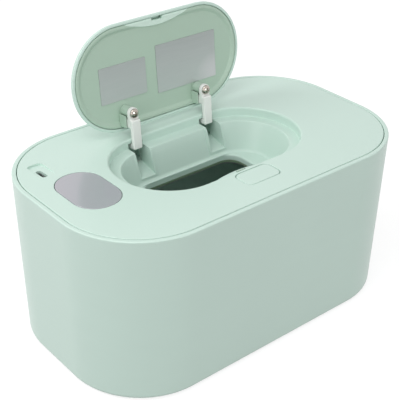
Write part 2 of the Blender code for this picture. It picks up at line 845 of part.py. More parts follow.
def build_sensor_lead(rest, board_under):
    lie = rest + wire_radius + running_gap
    run_y = half_y - tray_wall_inset - tray_thickness - 3 * wire_radius
    end_y = sensor_place[1] + sensor_length / 2 + running_gap
    tray_end_x = tray_wall_inset + tray_thickness - half_x
    lead_x = tray_end_x + (board_high_x - tray_end_x) * lead_share
    turn_y = board_high_y - board_radius
    stops = [(lead_x, turn_y, board_under), (lead_x, turn_y, (board_under + lie) / 2),
             (lead_x + board_radius / 2, turn_y, lie + board_radius / 8),
             (lead_x + board_radius, turn_y, lie), (-hinge_x, run_y, lie), (hinge_x, run_y, lie),
             (sensor_place[0] - board_radius, run_y - wire_radius * 4, lie),
             (sensor_place[0], end_y + board_radius / 2, lie + sensor_radius / 2),
             (sensor_place[0], end_y, rest + sensor_radius)]
    tube("sensor_lead", smooth_route(stops), wire_radius, wire_white)


# Display window, board and power inlet

def build_display():
    lip_top = cover_plate + running_gap
    face = [rounded(window_half_x - inset, window_half_y - inset, window_radius - inset,
                    window_centre_x, window_centre_y) for inset in (0, window_edge_radius)]
    lip = rounded(window_half_x + window_lip, window_half_y + window_lip, window_radius + window_lip,
                  window_centre_x, window_centre_y)
    loft("display_window", [at_height(lip, top - lip_top - window_lip_thickness),
                            at_height(lip, top - lip_top),
                            at_height(face[0], top - lip_top), at_height(face[0], top - window_edge_radius),
                            at_height(face[1], top)], window_grey)
    display_top = top - lip_top - window_lip_thickness - running_gap
    box("display_module",
        (window_centre_x - display_half_x, window_centre_y - display_half_y, top - board_depth + running_gap),
        (window_centre_x + display_half_x, window_centre_y + display_half_y, display_top), part_black)


def build_board():
    middle_x, middle_y = (board_low_x + board_high_x) / 2, (board_low_y + board_high_y) / 2
    reach_x, reach_y = (board_high_x - board_low_x) / 2, (board_high_y - board_low_y) / 2
    outline = rounded(reach_x, reach_y, min(board_radius, reach_x, reach_y), middle_x, middle_y)
    under = top - board_depth - board_thickness
    board = upright("main_board", outline, under, top - board_depth, board_green)
    for index, place in enumerate(board_boss_places(), 1):
        cut(board, rod(f"board_hole_{index}", (*place, under), (0, 0, 1), small_screw_hole,
                       2 * (board_thickness + overrun)))
        small_screw(f"board_screw_{index}", (*place, under - running_gap), (0, 0, -1), small_screw_length)
    chip_x, chip_y = on_board(chip_shares)
    box("control_chip", (chip_x - chip_half, chip_y - chip_half, under - running_gap - chip_height),
        (chip_x + chip_half, chip_y + chip_half, under - running_gap), part_black)


def build_inlet():
    outer = rounded(inlet_half_x, inlet_half_y, inlet_half_x - stadium_flat / 4, inlet_x, inlet_y)
    bore_x, bore_y = inlet_half_x - inlet_wall, inlet_half_y - inlet_wall
    inner = rounded(bore_x, bore_y, bore_x - stadium_flat / 4, inlet_x, inlet_y)
    low = top - board_depth + running_gap
    high = top - cover_plate - running_gap
    inlet = upright("power_inlet", outer, low, high, screw_steel)
    cut(inlet, upright("inlet_bore", inner, low + inlet_half_x, high + overrun))
    tongue = box("inlet_tongue",
                 (inlet_x - inlet_tongue, inlet_y - inlet_tongue_half, low + inlet_half_x / 2),
                 (inlet_x + inlet_tongue, inlet_y + inlet_tongue_half, high - inlet_half_x / 2))
    join(inlet, tongue)


# Button, latch and bracket

def build_button():
    face = [rounded(button_half_x - inset, button_half_y - inset, button_radius - inset, 0.0, button_centre_y)
            for inset in (0, button_edge_radius, button_skirt_wall)]
    button = loft("button", [at_height(face[2], top - button_top),
                             at_height(face[2], top - button_skirt_depth),
                             at_height(face[0], top - button_skirt_depth),
                             at_height(face[0], top - button_edge_radius), at_height(face[1], top)],
                  mint_shell)
    tab_top = top - cover_plate - running_gap
    for side in (-1, 1):
        inner, outer = button_half_x - button_skirt_wall / 2, button_half_x + button_tab_reach
        low_x, high_x = sorted((side * inner, side * outer))
        join(button, box(f"button_tab_{side}",
                         (low_x, button_centre_y - button_tab_length / 2, tab_top - button_tab_thickness),
                         (high_x, button_centre_y + button_tab_length / 2, tab_top)))
    slope = cam_slope * (post_bottom_depth - post_slope_depth)
    front, back = post_foot_front, post_foot_front + post_foot_width
    post = side_prism("button_post", [
        (front, top - post_bottom_depth), (back, top - post_bottom_depth),
        (back - slope, top - post_slope_depth), (back - slope, top - button_top / 2),
        (front - slope, top - button_top / 2), (front - slope, top - post_slope_depth)],
        -post_half_width, post_half_width)
    join(button, post)
    for side in (-1, 1):
        socket = rod(f"button_spring_stop_{side}", (side * spring_x, button_centre_y, top - button_top),
                     (0, 0, 1), spring_peg_radius, 2 * spring_peg_height)
        join(button, socket)


def cam_y(depth):
    # Where the button post's front face lies at rest, at this depth.
    return post_foot_front - cam_slope * (post_bottom_depth - depth)


def build_latch():
    low = latch_depth + latch_thickness
    window_front = cam_y(latch_depth) - cam_gap
    window_back = cam_y(low) + post_foot_width + cam_gap
    front_y = window_front - latch_bar_width
    blade_back = hook_y + hook_thickness / 2
    latch = box("latch", (-latch_half_width, front_y, top - low),
                (latch_half_width, blade_back, top - latch_depth), mint_satin)
    cut(latch, box("latch_window", (-post_half_width - cam_gap, window_front, top - low - overrun),
                   (post_half_width + cam_gap, window_back, top - latch_depth + overrun)))
    blade_front = hook_y - hook_thickness / 2
    hook_top = top - seat_depth + hook_rise
    join(latch, side_prism("latch_hook", [
        (blade_back, top - low + latch_thickness / 2), (blade_back, hook_top - hook_nose_height),
        (blade_back + hook_nose, hook_top - hook_nose_height), (blade_back, hook_top),
        (blade_front, hook_top), (blade_front, top - low + latch_thickness / 2)],
        -hook_half_width, hook_half_width))


def build_bracket():
    under = top - bracket_depth - bracket_thickness
    rest = top - latch_depth - latch_thickness - running_gap
    bracket = box("latch_bracket", (-bracket_half_x, bracket_front_y, under),
                  (bracket_half_x, bracket_back_y, top - bracket_depth), mint_satin)
    slope = cam_slope * (post_bottom_depth - post_slope_depth)
    cut(bracket, box("bracket_post_hole",
                     (-post_half_width - assembly_gap, post_foot_front - slope, under - overrun),
                     (post_half_width + assembly_gap, post_foot_front + post_foot_width + assembly_gap,
                      top - bracket_depth + overrun)))
    slab = bracket_thickness / 2
    rail_front = bracket_back_y - bracket_rail_length
    join(bracket, box("bracket_bed", (-latch_half_width, rail_front, under + slab),
                      (latch_half_width, bracket_back_y, rest)))
    join(bracket, box("bracket_sill", (-latch_half_width, bracket_front_y, under + slab),
                      (latch_half_width, bracket_front_y + bracket_rail_width, rest)))
    for side in (-1, 1):
        inner = latch_half_width + running_gap
        low_x, high_x = sorted((side * inner, side * (inner + bracket_rail_width)))
        join(bracket, box(f"bracket_rail_{side}", (low_x, rail_front, under + slab),
                          (high_x, bracket_back_y, top - latch_depth)))
        peg_low = top - bracket_depth - slab
        join(bracket, rod(f"bracket_peg_{side}",
                          (side * spring_x, button_centre_y, peg_low + (slab + spring_peg_height) / 2),
                          (0, 0, 1), spring_peg_radius, slab + spring_peg_height))
        place = (side * bracket_boss_x, bracket_boss_y)
        cut(bracket, rod(f"bracket_hole_{side}", (*place, under), (0, 0, 1), small_screw_hole,
                         2 * (bracket_thickness + overrun)))
        label = "left" if side < 0 else "right"
        small_screw("bracket_screw_" + label, (*place, under - running_gap), (0, 0, -1), small_screw_length)
        build_button_spring("button_spring_" + label, side * spring_x)


def build_button_spring(name, centre_x):
    low = top - bracket_depth + running_gap + coil_wire_radius
    high = top - button_top - running_gap - coil_wire_radius
    count = spring_turns * coil_points_per_turn
    points = []
    for step in range(count + 1):
        angle = 2 * math.pi * step / coil_points_per_turn
        points.append(Vector((centre_x + spring_radius * math.cos(angle),
                              button_centre_y + spring_radius * math.sin(angle),
                              low + (high - low) * step / count)))
    least_gap(name, points, coil_wire_radius, coil_points_per_turn // 2)
    tube(name, points, coil_wire_radius, screw_steel)


# Lid, modelled closed and relative to its hinge axis

lid_frame = bpy.data.objects.new("lid_hinge", None)
part_collection.objects.link(lid_frame)
lid_frame.location = (0, hinge_y, hinge_z)
lid_frame.rotation_euler = (-open_angle, 0, 0)


def hang(shape):
    shape.parent = lid_frame
    return shape


def lid_y(from_rear):
    return -hinge_behind_lid - from_rear


def lid_ring(inset, drop):
    # drop is below the lid's rim plane, which holds the hinge axis, and negative inside the lid
    outline = stadium(lid_half_x - inset, lid_half_y - inset, lid_y(lid_half_y))
    return at_height(outline, -drop)


def build_lid_shell():
    # The top is a low dome, widest just above the rim.
    profile = quarter_arc((lid_dome_width, -lid_thickness), (0, -lid_thickness), (0, -lid_edge_height), 7)
    profile += quarter_arc((0, -lid_edge_height), (0, 0), (lid_edge_width, 0), 3)[1:]
    profile += [(lid_rim_width, 0), (lid_rim_width, -lid_cavity_side),
                (lid_rim_width + lid_cavity_slope, -lid_thickness + lid_top_wall)]
    return hang(loft("lid_shell", [lid_ring(*point) for point in profile], mint_shell))


def build_liner():
    profile = [(bead_inner_inset + liner_flank, liner_recess * -1)]
    profile += quarter_arc((bead_inner_inset, -liner_bead_radius), (bead_inner_inset, 0),
                           (bead_inner_inset - liner_bead_radius, 0), 2)
    profile += quarter_arc((liner_inset + liner_bead_radius, 0), (liner_inset, 0),
                           (liner_inset, -liner_bead_radius), 2)
    profile += [(liner_inset, -liner_side), (liner_inset + liner_slope, -liner_recess - liner_thickness)]
    liner = hang(loft("lid_liner", [lid_ring(*point) for point in profile], mint_satin))
    add_pad(liner)
    for side, label in ((-1, "left"), (1, "right")):
        add_lid_boss(liner, side, label)
    return liner


def add_pad(liner):
    front_y = lid_y(2 * lid_half_y)
    edge_y = front_y + bead_inner_inset - liner_bead_radius
    outline = crescent_outline(crescent_half_width, crescent_reach, edge_y, liner_bead_width / 2)
    pad = hang(upright("liner_pad", outline, pad_drop, liner_recess + liner_thickness / 2))
    join(liner, pad)
    slot = hang(box("catch_opening",
                    (-catch_half_width, front_y + catch_from_front - catch_slot / 2, -overrun),
                    (catch_half_width, front_y + catch_from_front + catch_slot / 2,
                     lid_thickness - lid_top_wall)))
    cut(liner, slot)


def add_lid_boss(liner, side, label):
    middle = side * hinge_x
    root = liner_recess + liner_thickness / 2
    boss_y = lid_y(boss_from_rear)
    boss = hang(rod("lid_boss_" + label, (middle, boss_y, (root - boss_height) / 2), (0, 0, 1), boss_radius,
                    root + boss_height))
    guides = []
    for hand in (-1, 1):
        inner = arm_half_width + guide_gap
        low_x, high_x = sorted((middle + hand * inner, middle + hand * (inner + guide_wall)))
        guides.append(hang(box(f"lid_guide_{label}_{hand}", (low_x, lid_y(guide_end), -guide_height),
                               (high_x, lid_y(guide_start), root))))
    bore = hang(rod("lid_boss_bore_" + label, (middle, boss_y, -boss_height / 2 - overrun / 2), (0, 0, 1),
                    boss_hole_radius, boss_height + overrun))
    join(liner, boss, *guides)
    cut(liner, bore)


def build_plates():
    for name, x, from_rear, width, height in (
            ("blank_plate_left", left_plate_x, left_plate_from_rear, left_plate_width,
             left_plate_height),
            ("blank_plate_right", right_plate_x, right_plate_from_rear, right_plate_width,
             right_plate_height)):
        outline = rounded(width / 2, height / 2, plate_corner_radius, x, lid_y(from_rear))
        face = liner_recess - plate_gap
        hang(upright(name, outline, face - plate_thickness, face, label_silver))


def arm_outline():
    # (y, z) about the hinge axis with the lid closed: eye, leg down, bar forward.
    lean = math.asin(arm_leg_half / arm_eye_radius)
    eye_steps = 16
    points = []
    for step in range(eye_steps + 1):
        angle = lean + (2 * math.pi - 2 * lean) * step / eye_steps
        points.append((arm_eye_radius * math.sin(angle), -arm_eye_radius * math.cos(angle)))
    front = arm_back + arm_thickness
    end_y = lid_y(arm_end)
    elbow = quarter_arc((-arm_leg_half, -arm_back + arm_corner_radius), (-arm_leg_half, -arm_back),
                        (-arm_leg_half - arm_corner_radius, -arm_back), 3)
    tip = quarter_arc((end_y, -front + arm_corner_radius), (end_y, -front),
                      (end_y + arm_corner_radius, -front), 3)
    heel = quarter_arc((arm_leg_half - arm_corner_radius, -front), (arm_leg_half, -front),
                       (arm_leg_half, -front + arm_corner_radius), 3)
    return points + elbow + [(end_y, -arm_back)] + tip + heel


def tab_outline(middle):
    centre_y = lid_y(boss_from_rear)
    steps = 20
    arc = [(middle + tab_half_width * math.cos(math.pi * (1 + step / steps)),
            centre_y + tab_half_width * math.sin(math.pi * (1 + step / steps))) for step in range(steps + 1)]
    root_y = lid_y((arm_head_start + arm_end) / 2)
    return arc + [(middle + arm_half_width, root_y), (middle - arm_half_width, root_y)]


def build_arm(side, label):
    middle = side * hinge_x
    arm = hang(side_prism("hinge_arm_" + label, arm_outline(), middle - arm_half_width,
                          middle + arm_half_width, white_nylon))
    front = tab_back + tab_thickness
    tab = hang(upright("arm_tab_" + label, tab_outline(middle), -front, -tab_back))
    head = hang(box("arm_head_" + label, (middle - arm_half_width, lid_y(arm_end), -arm_back - running_gap),
                    (middle + arm_half_width, lid_y(arm_head_start), -arm_head_back)))
    join(arm, head, tab)
    bore = hang(rod("arm_bore_" + label, (middle, 0, 0), (1, 0, 0), pin_bore_radius,
                    2 * (arm_half_width + overrun)))
    hole = hang(rod("arm_hole_" + label, (middle, lid_y(boss_from_rear), -tab_back - tab_thickness / 2),
                    (0, 0, 1), tab_hole_radius, tab_thickness + overrun))
    cut(arm, bore, hole)
    dome = [(screw_head_radius * math.sin(math.pi / 2 * step / 5),
             screw_head_height * (0.3 + 0.7 * math.cos(math.pi / 2 * step / 5))) for step in range(6)]
    profile = dome + [(screw_head_radius, 0), (screw_shank_radius, 0),
                      (screw_shank_radius, -screw_shank_length), (0, -screw_shank_length)]
    screw = turned("arm_screw_" + label, profile, (middle, lid_y(boss_from_rear), -front - running_gap),
                   (0, 0, -1), screw_steel)
    hang(screw)


def build_pin(side, label):
    outer = pocket_half_width + pocket_wall - pin_inset
    rod("hinge_pin_" + label, (side * hinge_x, hinge_y, hinge_z), (1, 0, 0), pin_radius, 2 * outer, screw_steel)


def build_lid_spring(side, label):
    # The coil sits on the hinge pin beside the arm's eye. Its lower leg comes forward, stands in the
    # hinge slot and turns its foot along the pocket's sill.
    start_x = arm_half_width + lid_coil_side_gap + coil_wire_radius
    count = round(lid_coil_turns * coil_points_per_turn)
    coil = []
    for step in range(count + 1):
        angle = 2 * math.pi * step / coil_points_per_turn
        coil.append(Vector((start_x + lid_coil_pitch * step / coil_points_per_turn,
                            lid_coil_radius * math.sin(angle), -lid_coil_radius * math.cos(angle))))
    least_gap("lid_spring_" + label, coil, coil_wire_radius, coil_points_per_turn // 2)
    sill = hinge_z - (top - pocket_floor_depth) - running_gap - coil_wire_radius
    leg = [Vector((start_x, -anchor_leg_y, -sill)), Vector((start_x, -anchor_leg_y, -anchor_leg_top))]
    foot = leg[0] - Vector((anchor_foot_length, 0, 0))
    path = [Vector((side * (hinge_x - p.x), hinge_y + p.y, hinge_z + p.z)) for p in [foot] + leg + coil]
    tube("lid_spring_" + label, path, coil_wire_radius, screw_steel)


build_casing()
build_cover()
build_tray()
build_heater()
build_sensing()
build_display()
build_board()
build_inlet()
build_button()
build_latch()
build_bracket()
build_lid_shell()
build_liner()
build_plates()
for hand, hand_name in ((-1, "left"), (1, "right")):
    build_arm(hand, hand_name)
    build_pin(hand, hand_name)
    build_lid_spring(hand, hand_name)
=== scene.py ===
# Baby wipe warmer with a pop-up lid: the looks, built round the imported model.
# Sizes are in millimetres from the table under the middle of the casing, front towards -Y.

import math

import bmesh
import bpy
from mathutils import Matrix, Vector


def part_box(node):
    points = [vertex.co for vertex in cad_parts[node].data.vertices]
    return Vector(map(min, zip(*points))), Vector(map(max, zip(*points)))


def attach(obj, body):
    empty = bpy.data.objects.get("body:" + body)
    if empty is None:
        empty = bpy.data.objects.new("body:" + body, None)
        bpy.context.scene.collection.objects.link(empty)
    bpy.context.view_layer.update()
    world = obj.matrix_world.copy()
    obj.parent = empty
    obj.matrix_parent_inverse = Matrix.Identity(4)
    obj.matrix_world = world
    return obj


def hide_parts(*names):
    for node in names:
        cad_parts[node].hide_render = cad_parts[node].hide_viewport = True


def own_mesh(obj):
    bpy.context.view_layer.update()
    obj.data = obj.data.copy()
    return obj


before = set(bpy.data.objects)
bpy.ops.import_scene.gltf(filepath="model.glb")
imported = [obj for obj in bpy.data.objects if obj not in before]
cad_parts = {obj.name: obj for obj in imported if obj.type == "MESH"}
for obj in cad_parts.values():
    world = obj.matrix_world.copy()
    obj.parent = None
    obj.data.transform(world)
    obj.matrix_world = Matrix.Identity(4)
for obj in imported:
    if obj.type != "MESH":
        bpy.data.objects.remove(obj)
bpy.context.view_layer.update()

print("frame loaded with", len(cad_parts), "solids")

mm = 0.001


# Wiring of node trees

class Wire:
    # One socket of a node tree, with sums written as they are on paper.
    def __init__(self, tree, socket=None):
        self.tree, self.socket = tree, socket

    def node(self, kind, settings=None, values=None, out=0):
        made = self.tree.nodes.new(kind)
        for key, value in (settings or {}).items():
            if key == "stops":  # of a colour ramp: place and colour of each
                while len(made.color_ramp.elements) < len(value):
                    made.color_ramp.elements.new(0.5)
                for element, (place, colour) in zip(made.color_ramp.elements, value):
                    element.position, element.color = place, colour
            else:
                setattr(made, key, value)
        for key, value in (values or {}).items():
            for item in value if isinstance(value, list) else [value]:
                if isinstance(item, Wire):
                    self.tree.links.new(item.socket, made.inputs[key])
                else:
                    made.inputs[key].default_value = item
        return Wire(self.tree, made.outputs[out] if len(made.outputs) else None)

    def sum(self, operation, first, second=0.0):
        return self.node("ShaderNodeMath", {"operation": operation}, {0: first, 1: second})

    def __add__(self, other):
        return self.sum("ADD", self, other)

    def __radd__(self, other):
        return self.sum("ADD", other, self)

    def __sub__(self, other):
        return self.sum("SUBTRACT", self, other)

    def __rsub__(self, other):
        return self.sum("SUBTRACT", other, self)

    def __mul__(self, other):
        return self.sum("MULTIPLY", self, other)

    def __rmul__(self, other):
        return self.sum("MULTIPLY", other, self)

    def __truediv__(self, other):
        return self.sum("DIVIDE", self, other)

    def clamped(self):
        return self.node("ShaderNodeClamp", {}, {"Value": self})

    def mixed(self, first, second):
        # This factor blends two colours.
        return self.node("ShaderNodeMix", {"data_type": "RGBA"}, {0: self, 6: first, 7: second}, 2)

    def noise(self, scale, detail=2.0, out=0):
        return self.node("ShaderNodeTexNoise", {}, {"Vector": self, "Scale": scale, "Detail": detail}, out)

    def stretched(self, scale, turn=(0.0, 0.0, 0.0)):
        return self.node("ShaderNodeMapping", {}, {"Vector": self, "Scale": scale, "Rotation": turn})

    def relief(self, strength, depth):
        return self.node("ShaderNodeBump", {}, {"Height": self, "Strength": strength, "Distance": depth})


def newFinish(name, recipe):
    # The recipe gets the place on the surface and returns the sockets of the shader.
    material = bpy.data.materials.new(name)
    material.use_nodes = True
    material.node_tree.nodes.clear()
    start = Wire(material.node_tree)
    place = start.node("ShaderNodeTexCoord", out="Object")
    shader = start.node("ShaderNodeBsdfPrincipled", {}, recipe(place))
    start.node("ShaderNodeOutputMaterial", {}, {"Surface": shader})
    return material


def shade(colour, factor):
    return tuple(min(1.0, part * factor) for part in colour) + (1.0,)


def mouldedPlastic(name, colour, roughness, drift=0.025, grain=0.10, coat=0.0, paintedHighlight=None):
    def recipe(place):
        cloud = place.noise(22.0, 3.0)
        flow = place.stretched((9.0, 9.0, 40.0)).noise(3.0, 2.0)
        pores = place.noise(5200.0, 1.0)
        tint = (cloud * 0.6 + flow * 0.4).mixed(shade(colour, 1 - drift), shade(colour, 1 + drift))
        # A painted highlight: a paler colour mixed in where the mask is 1.
        if paintedHighlight:
            tint = paintedHighlight["mask"](place).mixed(tint, shade(paintedHighlight["colour"], 1.0))
        return {
            "Base Color": tint,
            "Roughness": roughness + (cloud - 0.5) * 0.08 + (pores - 0.5) * 0.06,
            "Normal": (pores + flow * 0.3).relief(grain, 0.00002),
            "Coat Weight": coat,
            "Coat Roughness": 0.12,
            "IOR": 1.49,
        }
    return newFinish(name, recipe)


def brightMetal(name, colour, roughness, brushed=(60.0, 60.0, 60.0), grain=0.08):
    def recipe(place):
        tone = place.noise(900.0, 2.0)
        lines = place.stretched(brushed).noise(30.0, 2.0)
        return {
            "Base Color": tone.mixed(shade(colour, 0.86), shade(colour, 1.08)),
            "Metallic": 1.0,
            "Roughness": roughness + (lines - 0.5) * 0.12,
            "Normal": lines.relief(grain, 0.00001),
        }
    return newFinish(name, recipe)


def silverFoil(name, look):
    # The fall of tone from foot to head, darker towards the lid's top, is a painted reflection. The pale spot round
    # the sheen place is a painted highlight. The brushed streaks are the foil's own.
    def recipe(place):
        across = place.stretched(look["brush"]).noise(42.0, 3.0)
        height = place.node("ShaderNodeSeparateXYZ", {}, {0: place}, 2)
        paintedLightShare = ((height - look["low"]) / (look["high"] - look["low"])).clamped()
        reach = place.node("ShaderNodeVectorMath", {"operation": "DISTANCE"},
                           {0: place, 1: look["paintedSheenPlace"]}, 1)
        paintedSheen = (1 - reach / look["paintedSheenReach"]).clamped()
        base = paintedLightShare.mixed(shade(look["foot"], 1.0), shade(look["head"], 1.0))
        base = paintedSheen.mixed(base, shade(look["paintedSheen"], 1.0))
        return {
            "Base Color": (across * 0.16).mixed(base, shade(look["streak"], 1.0)),
            "Metallic": 0.45,
            "Roughness": 0.36 + (across - 0.5) * 0.16,
            "Normal": across.relief(0.12, 0.00001),
        }
    return newFinish(name, recipe)


def tintedWindow(name, look):
    # The pane's paler, more violet left end fading to the right is a painted reflection mixed into the base colour.
    def recipe(place):
        side = place.node("ShaderNodeSeparateXYZ", {}, {0: place}, 0)
        deep = place.node("ShaderNodeSeparateXYZ", {}, {0: place}, 1)
        paintedLightShare = ((side * 0.75 - deep * 0.66 - look["from"]) / (look["to"] - look["from"])).clamped()
        veil = place.noise(160.0, 2.0)
        return {
            "Base Color": (paintedLightShare + (veil - 0.5) * 0.08).clamped().mixed(
                shade(look["left"], 1.0), shade(look["right"], 1.0)),
            "Roughness": 0.16 + veil * 0.05,
            "Normal": place.noise(2400.0, 1.0).relief(0.03, 0.00001),
            "Coat Weight": 0.5,
            "Coat Roughness": 0.04,
        }
    return newFinish(name, recipe)


def boardMask(name):
    def recipe(place):
        tracks = place.node("ShaderNodeTexWave", {"bands_direction": "Y"},
                            {"Vector": place, "Scale": 260.0, "Distortion": 5.0, "Detail": 1.0})
        return {
            "Base Color": tracks.mixed((0.012, 0.13, 0.05, 1.0), (0.03, 0.22, 0.09, 1.0)),
            "Roughness": 0.35 + tracks * 0.15,
            "Normal": tracks.relief(0.15, 0.00003),
        }
    return newFinish(name, recipe)


def softRubber(name, colour, roughness=0.8):
    def recipe(place):
        dust = place.noise(700.0, 3.0)
        return {
            "Base Color": dust.mixed(shade(colour, 0.85), shade(colour, 1.15)),
            "Roughness": roughness + (dust - 0.5) * 0.12,
            "Normal": place.noise(3500.0, 2.0).relief(0.2, 0.00003),
        }
    return newFinish(name, recipe)


# The crescent pad at the lid's free edge, in metres where it stands with the lid open; above its arc the liner is
# painted paler, a painted highlight
padArc = {"half": 0.019, "reach": 0.0033, "edge": 0.1687}


def onPad(place):
    # 1 above the arc that ends the pad, 0 below it.
    side = place.node("ShaderNodeSeparateXYZ", {}, {0: place}, 0) / padArc["half"]
    height = place.node("ShaderNodeSeparateXYZ", {}, {0: place}, 2)
    return ((height - padArc["edge"] + (1 - side * side) * padArc["reach"]) / 0.0002).clamped()


# The pad's paler mint is a painted highlight, standing for the light its face catches.
mint = {"shell": (0.605, 0.765, 0.690), "liner": (0.440, 0.578, 0.475), "pad": (0.67, 0.83, 0.74),
        "inner": (0.34, 0.45, 0.31)}
finishes = {
    "shell": mouldedPlastic("mint shell plastic", mint["shell"], 0.34),
    # The liner's mint, darker than the shell's, is painted shade on the lid's inner face; the latch shares this
    # colour.
    "liner": mouldedPlastic("mint satin plastic, painted shade and highlight", mint["liner"], 0.42,
                            paintedHighlight={"mask": onPad, "colour": mint["pad"]}),
    "latch": mouldedPlastic("mint latch plastic", mint["liner"], 0.42),
    # The inner mint, darker than the shell's, is painted shade for the inside of the casing and the heater tray.
    "inner": mouldedPlastic("mint plastic, painted inner shade", mint["inner"], 0.50),
    "nylon": mouldedPlastic("white nylon", (0.85, 0.87, 0.84), 0.32, 0.015, 0.06, 0.2),
    # The screw steel is darker and warmer than plain steel: a painted dark reflection.
    "screw": brightMetal("bright screw steel", (0.50, 0.45, 0.40), 0.13),
    "wire": brightMetal("spring steel", (0.62, 0.64, 0.62), 0.28),
    "socket": brightMetal("socket shell", (0.30, 0.31, 0.31), 0.30),
    "plate": brightMetal("rolled heater sheet", (0.68, 0.69, 0.70), 0.36, (4.0, 90.0, 90.0), 0.15),
    "film": mouldedPlastic("amber heater film", (0.42, 0.20, 0.05), 0.30, 0.10),
    "black": mouldedPlastic("moulded black", (0.022, 0.022, 0.024), 0.45, 0.10),
    "board": boardMask("green board mask"),
    "rubber": softRubber("grey foot rubber", (0.30, 0.33, 0.32)),
    "lead": softRubber("white wire cover", (0.72, 0.72, 0.70), 0.5),
    # Blank silver foil: its foot-to-head fall of tone and the pale spot at the right plate's lower right are painted
    # reflections in the base colour.
    "foil": silverFoil("blank silver foil", {
        "low": 0.124, "high": 0.153, "foot": (0.46, 0.50, 0.49), "head": (0.33, 0.36, 0.355),
        "paintedSheenPlace": (0.041, 0.037, 0.126), "paintedSheenReach": 0.016, "paintedSheen": (0.66, 0.63, 0.66),
        "streak": (0.66, 0.67, 0.68), "brush": (1.2, 30.0, 30.0)}),
    # Display window: its left-to-right change of tone is a painted reflection.
    "window": tintedWindow("grey display window", {
        "from": -0.083, "to": -0.056, "left": (0.43, 0.42, 0.46), "right": (0.372, 0.396, 0.420)}),
}
print("finishes made:", len(finishes))


# Shapes

def settle(piece):
    # Turns what the modifiers make into the piece's own mesh.
    shown = piece.evaluated_get(bpy.context.evaluated_depsgraph_get())
    data = bpy.data.meshes.new_from_object(shown)
    piece.modifiers.clear()
    piece.data = data
    return piece


def smoothOver(piece, angle=34.0):
    piece.data.shade_smooth()
    piece.data.set_sharp_from_angle(angle=math.radians(angle))
    weighted = piece.modifiers.new("even shading", "WEIGHTED_NORMAL")
    weighted.keep_sharp = True
    weighted.weight = 90
    return settle(piece)


def keepMesh(name, source, finish=None):
    bmesh.ops.scale(source, vec=(mm, mm, mm), verts=source.verts)
    data = bpy.data.meshes.new(name)
    source.to_mesh(data)
    source.free()
    piece = bpy.data.objects.new(name, data)
    bpy.context.scene.collection.objects.link(piece)
    if finish:
        data.materials.append(finishes[finish])
    return piece


def loft(name, rings, finish=None, closed=False):
    source = bmesh.new()
    loops = [[source.verts.new(point) for point in ring] for ring in rings]
    pairs = list(zip(loops, loops[1:])) + ([(loops[-1], loops[0])] if closed else [])
    for lower, upper in pairs:
        for index in range(len(lower)):
            after = (index + 1) % len(lower)
            source.faces.new((lower[index], lower[after], upper[after], upper[index]))
    if not closed:
        source.faces.new(loops[0])
        source.faces.new(loops[-1])
    bmesh.ops.recalc_face_normals(source, faces=source.faces)
    if source.calc_volume(signed=True) < 0:
        bmesh.ops.reverse_faces(source, faces=source.faces)
    return keepMesh(name, source, finish)


def block(name, low, high, finish=None):
    source = bmesh.new()
    bmesh.ops.create_cube(source, size=1)
    low, high = Vector(low), Vector(high)
    bmesh.ops.transform(source, verts=source.verts,
                        matrix=Matrix.Translation((low + high) / 2) @ Matrix.Diagonal((*(high - low), 1)))
    return keepMesh(name, source, finish)


def rod(name, centre, axis, radius, length, finish=None, sides=48):
    source = bmesh.new()
    turn = Vector((0, 0, 1)).rotation_difference(Vector(axis)).to_matrix().to_4x4()
    bmesh.ops.create_cone(source, cap_ends=True, segments=sides, radius1=radius, radius2=radius, depth=length,
                          matrix=Matrix.Translation(centre) @ turn)
    return keepMesh(name, source, finish)


def turnedForm(name, profile, finish=None, sides=48):
    # The profile runs down the outer side: (radius, height), the ends on the axis.
    rings = [[(radius * math.cos(2 * math.pi * i / sides), radius * math.sin(2 * math.pi * i / sides), height)
              for i in range(sides)] for radius, height in profile]
    return loft(name, rings, finish)


def carve(piece, *tools, how="DIFFERENCE"):
    for tool in tools:
        change = piece.modifiers.new("carve", "BOOLEAN")
        change.operation, change.solver, change.object = how, "EXACT", tool
    settle(piece)
    for tool in tools:
        bpy.data.objects.remove(tool)
    return piece


def bevelled(piece, width, segments=3, angle=40.0):
    edge = piece.modifiers.new("edge", "BEVEL")
    edge.width, edge.segments = width * mm, segments
    edge.limit_method, edge.angle_limit = "ANGLE", math.radians(angle)
    return settle(piece)


def shifted(piece, matrix):
    piece.data.transform(matrix)
    return piece


def bend(start, corner, end, steps=6):
    # Points on the round that takes a corner from start to end.
    start, corner, end = Vector(start), Vector(corner), Vector(end)
    weight = math.sin((start - corner).angle(end - corner) / 2)
    points = []
    for step in range(steps + 1):
        t = step / steps
        a, b, c = (1 - t) ** 2, 2 * t * (1 - t) * weight, t * t
        points.append(tuple((start * a + corner * b + end * c) / (a + b + c)))
    return points


def rounded(reachX, reachY, radius, middle=(0.0, 0.0), steps=28):
    points = []
    for quarter in range(4):
        sideX = 1 if quarter in (0, 3) else -1
        sideY = 1 if quarter < 2 else -1
        for step in range(steps + 1):
            angle = math.pi / 2 * (quarter + step / steps)
            points.append((middle[0] + sideX * (reachX - radius) + radius * math.cos(angle),
                           middle[1] + sideY * (reachY - radius) + radius * math.sin(angle)))
    return points


def lifted(outline, z):
    return [(x, y, z) for x, y in outline]


def ride(piece, body, slot, *nodes):
    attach(piece, body)
    if nodes:
        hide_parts(*nodes)
    return piece


# Casing: a wall section swept round the outline, with its floor

casing = {
    "length": 225.0, "depth": 135.2, "top": 105.7, "foot": 0.8, "corner": 49.9, "draft": 2.2,
    "wall": 2.6, "floor": 2.5, "baseEdge": 3.0, "rimEdge": 0.8, "rimInnerEdge": 0.5,
    "shoulderWidth": 2.4, "shoulderDepth": 2.9, "shoulderHeight": 3.0, "shoulderSlope": 3.0,
    "footRadius": 6.0, "footHeight": 1.6, "footX": 78.0, "footY": 36.0,
}
top = casing["top"]


def casingInset(z):
    return casing["draft"] * (top - z) / (top - casing["foot"])


def casingOutline(inset):
    return rounded(casing["length"] / 2 - inset, casing["depth"] / 2 - inset, casing["corner"] - inset)


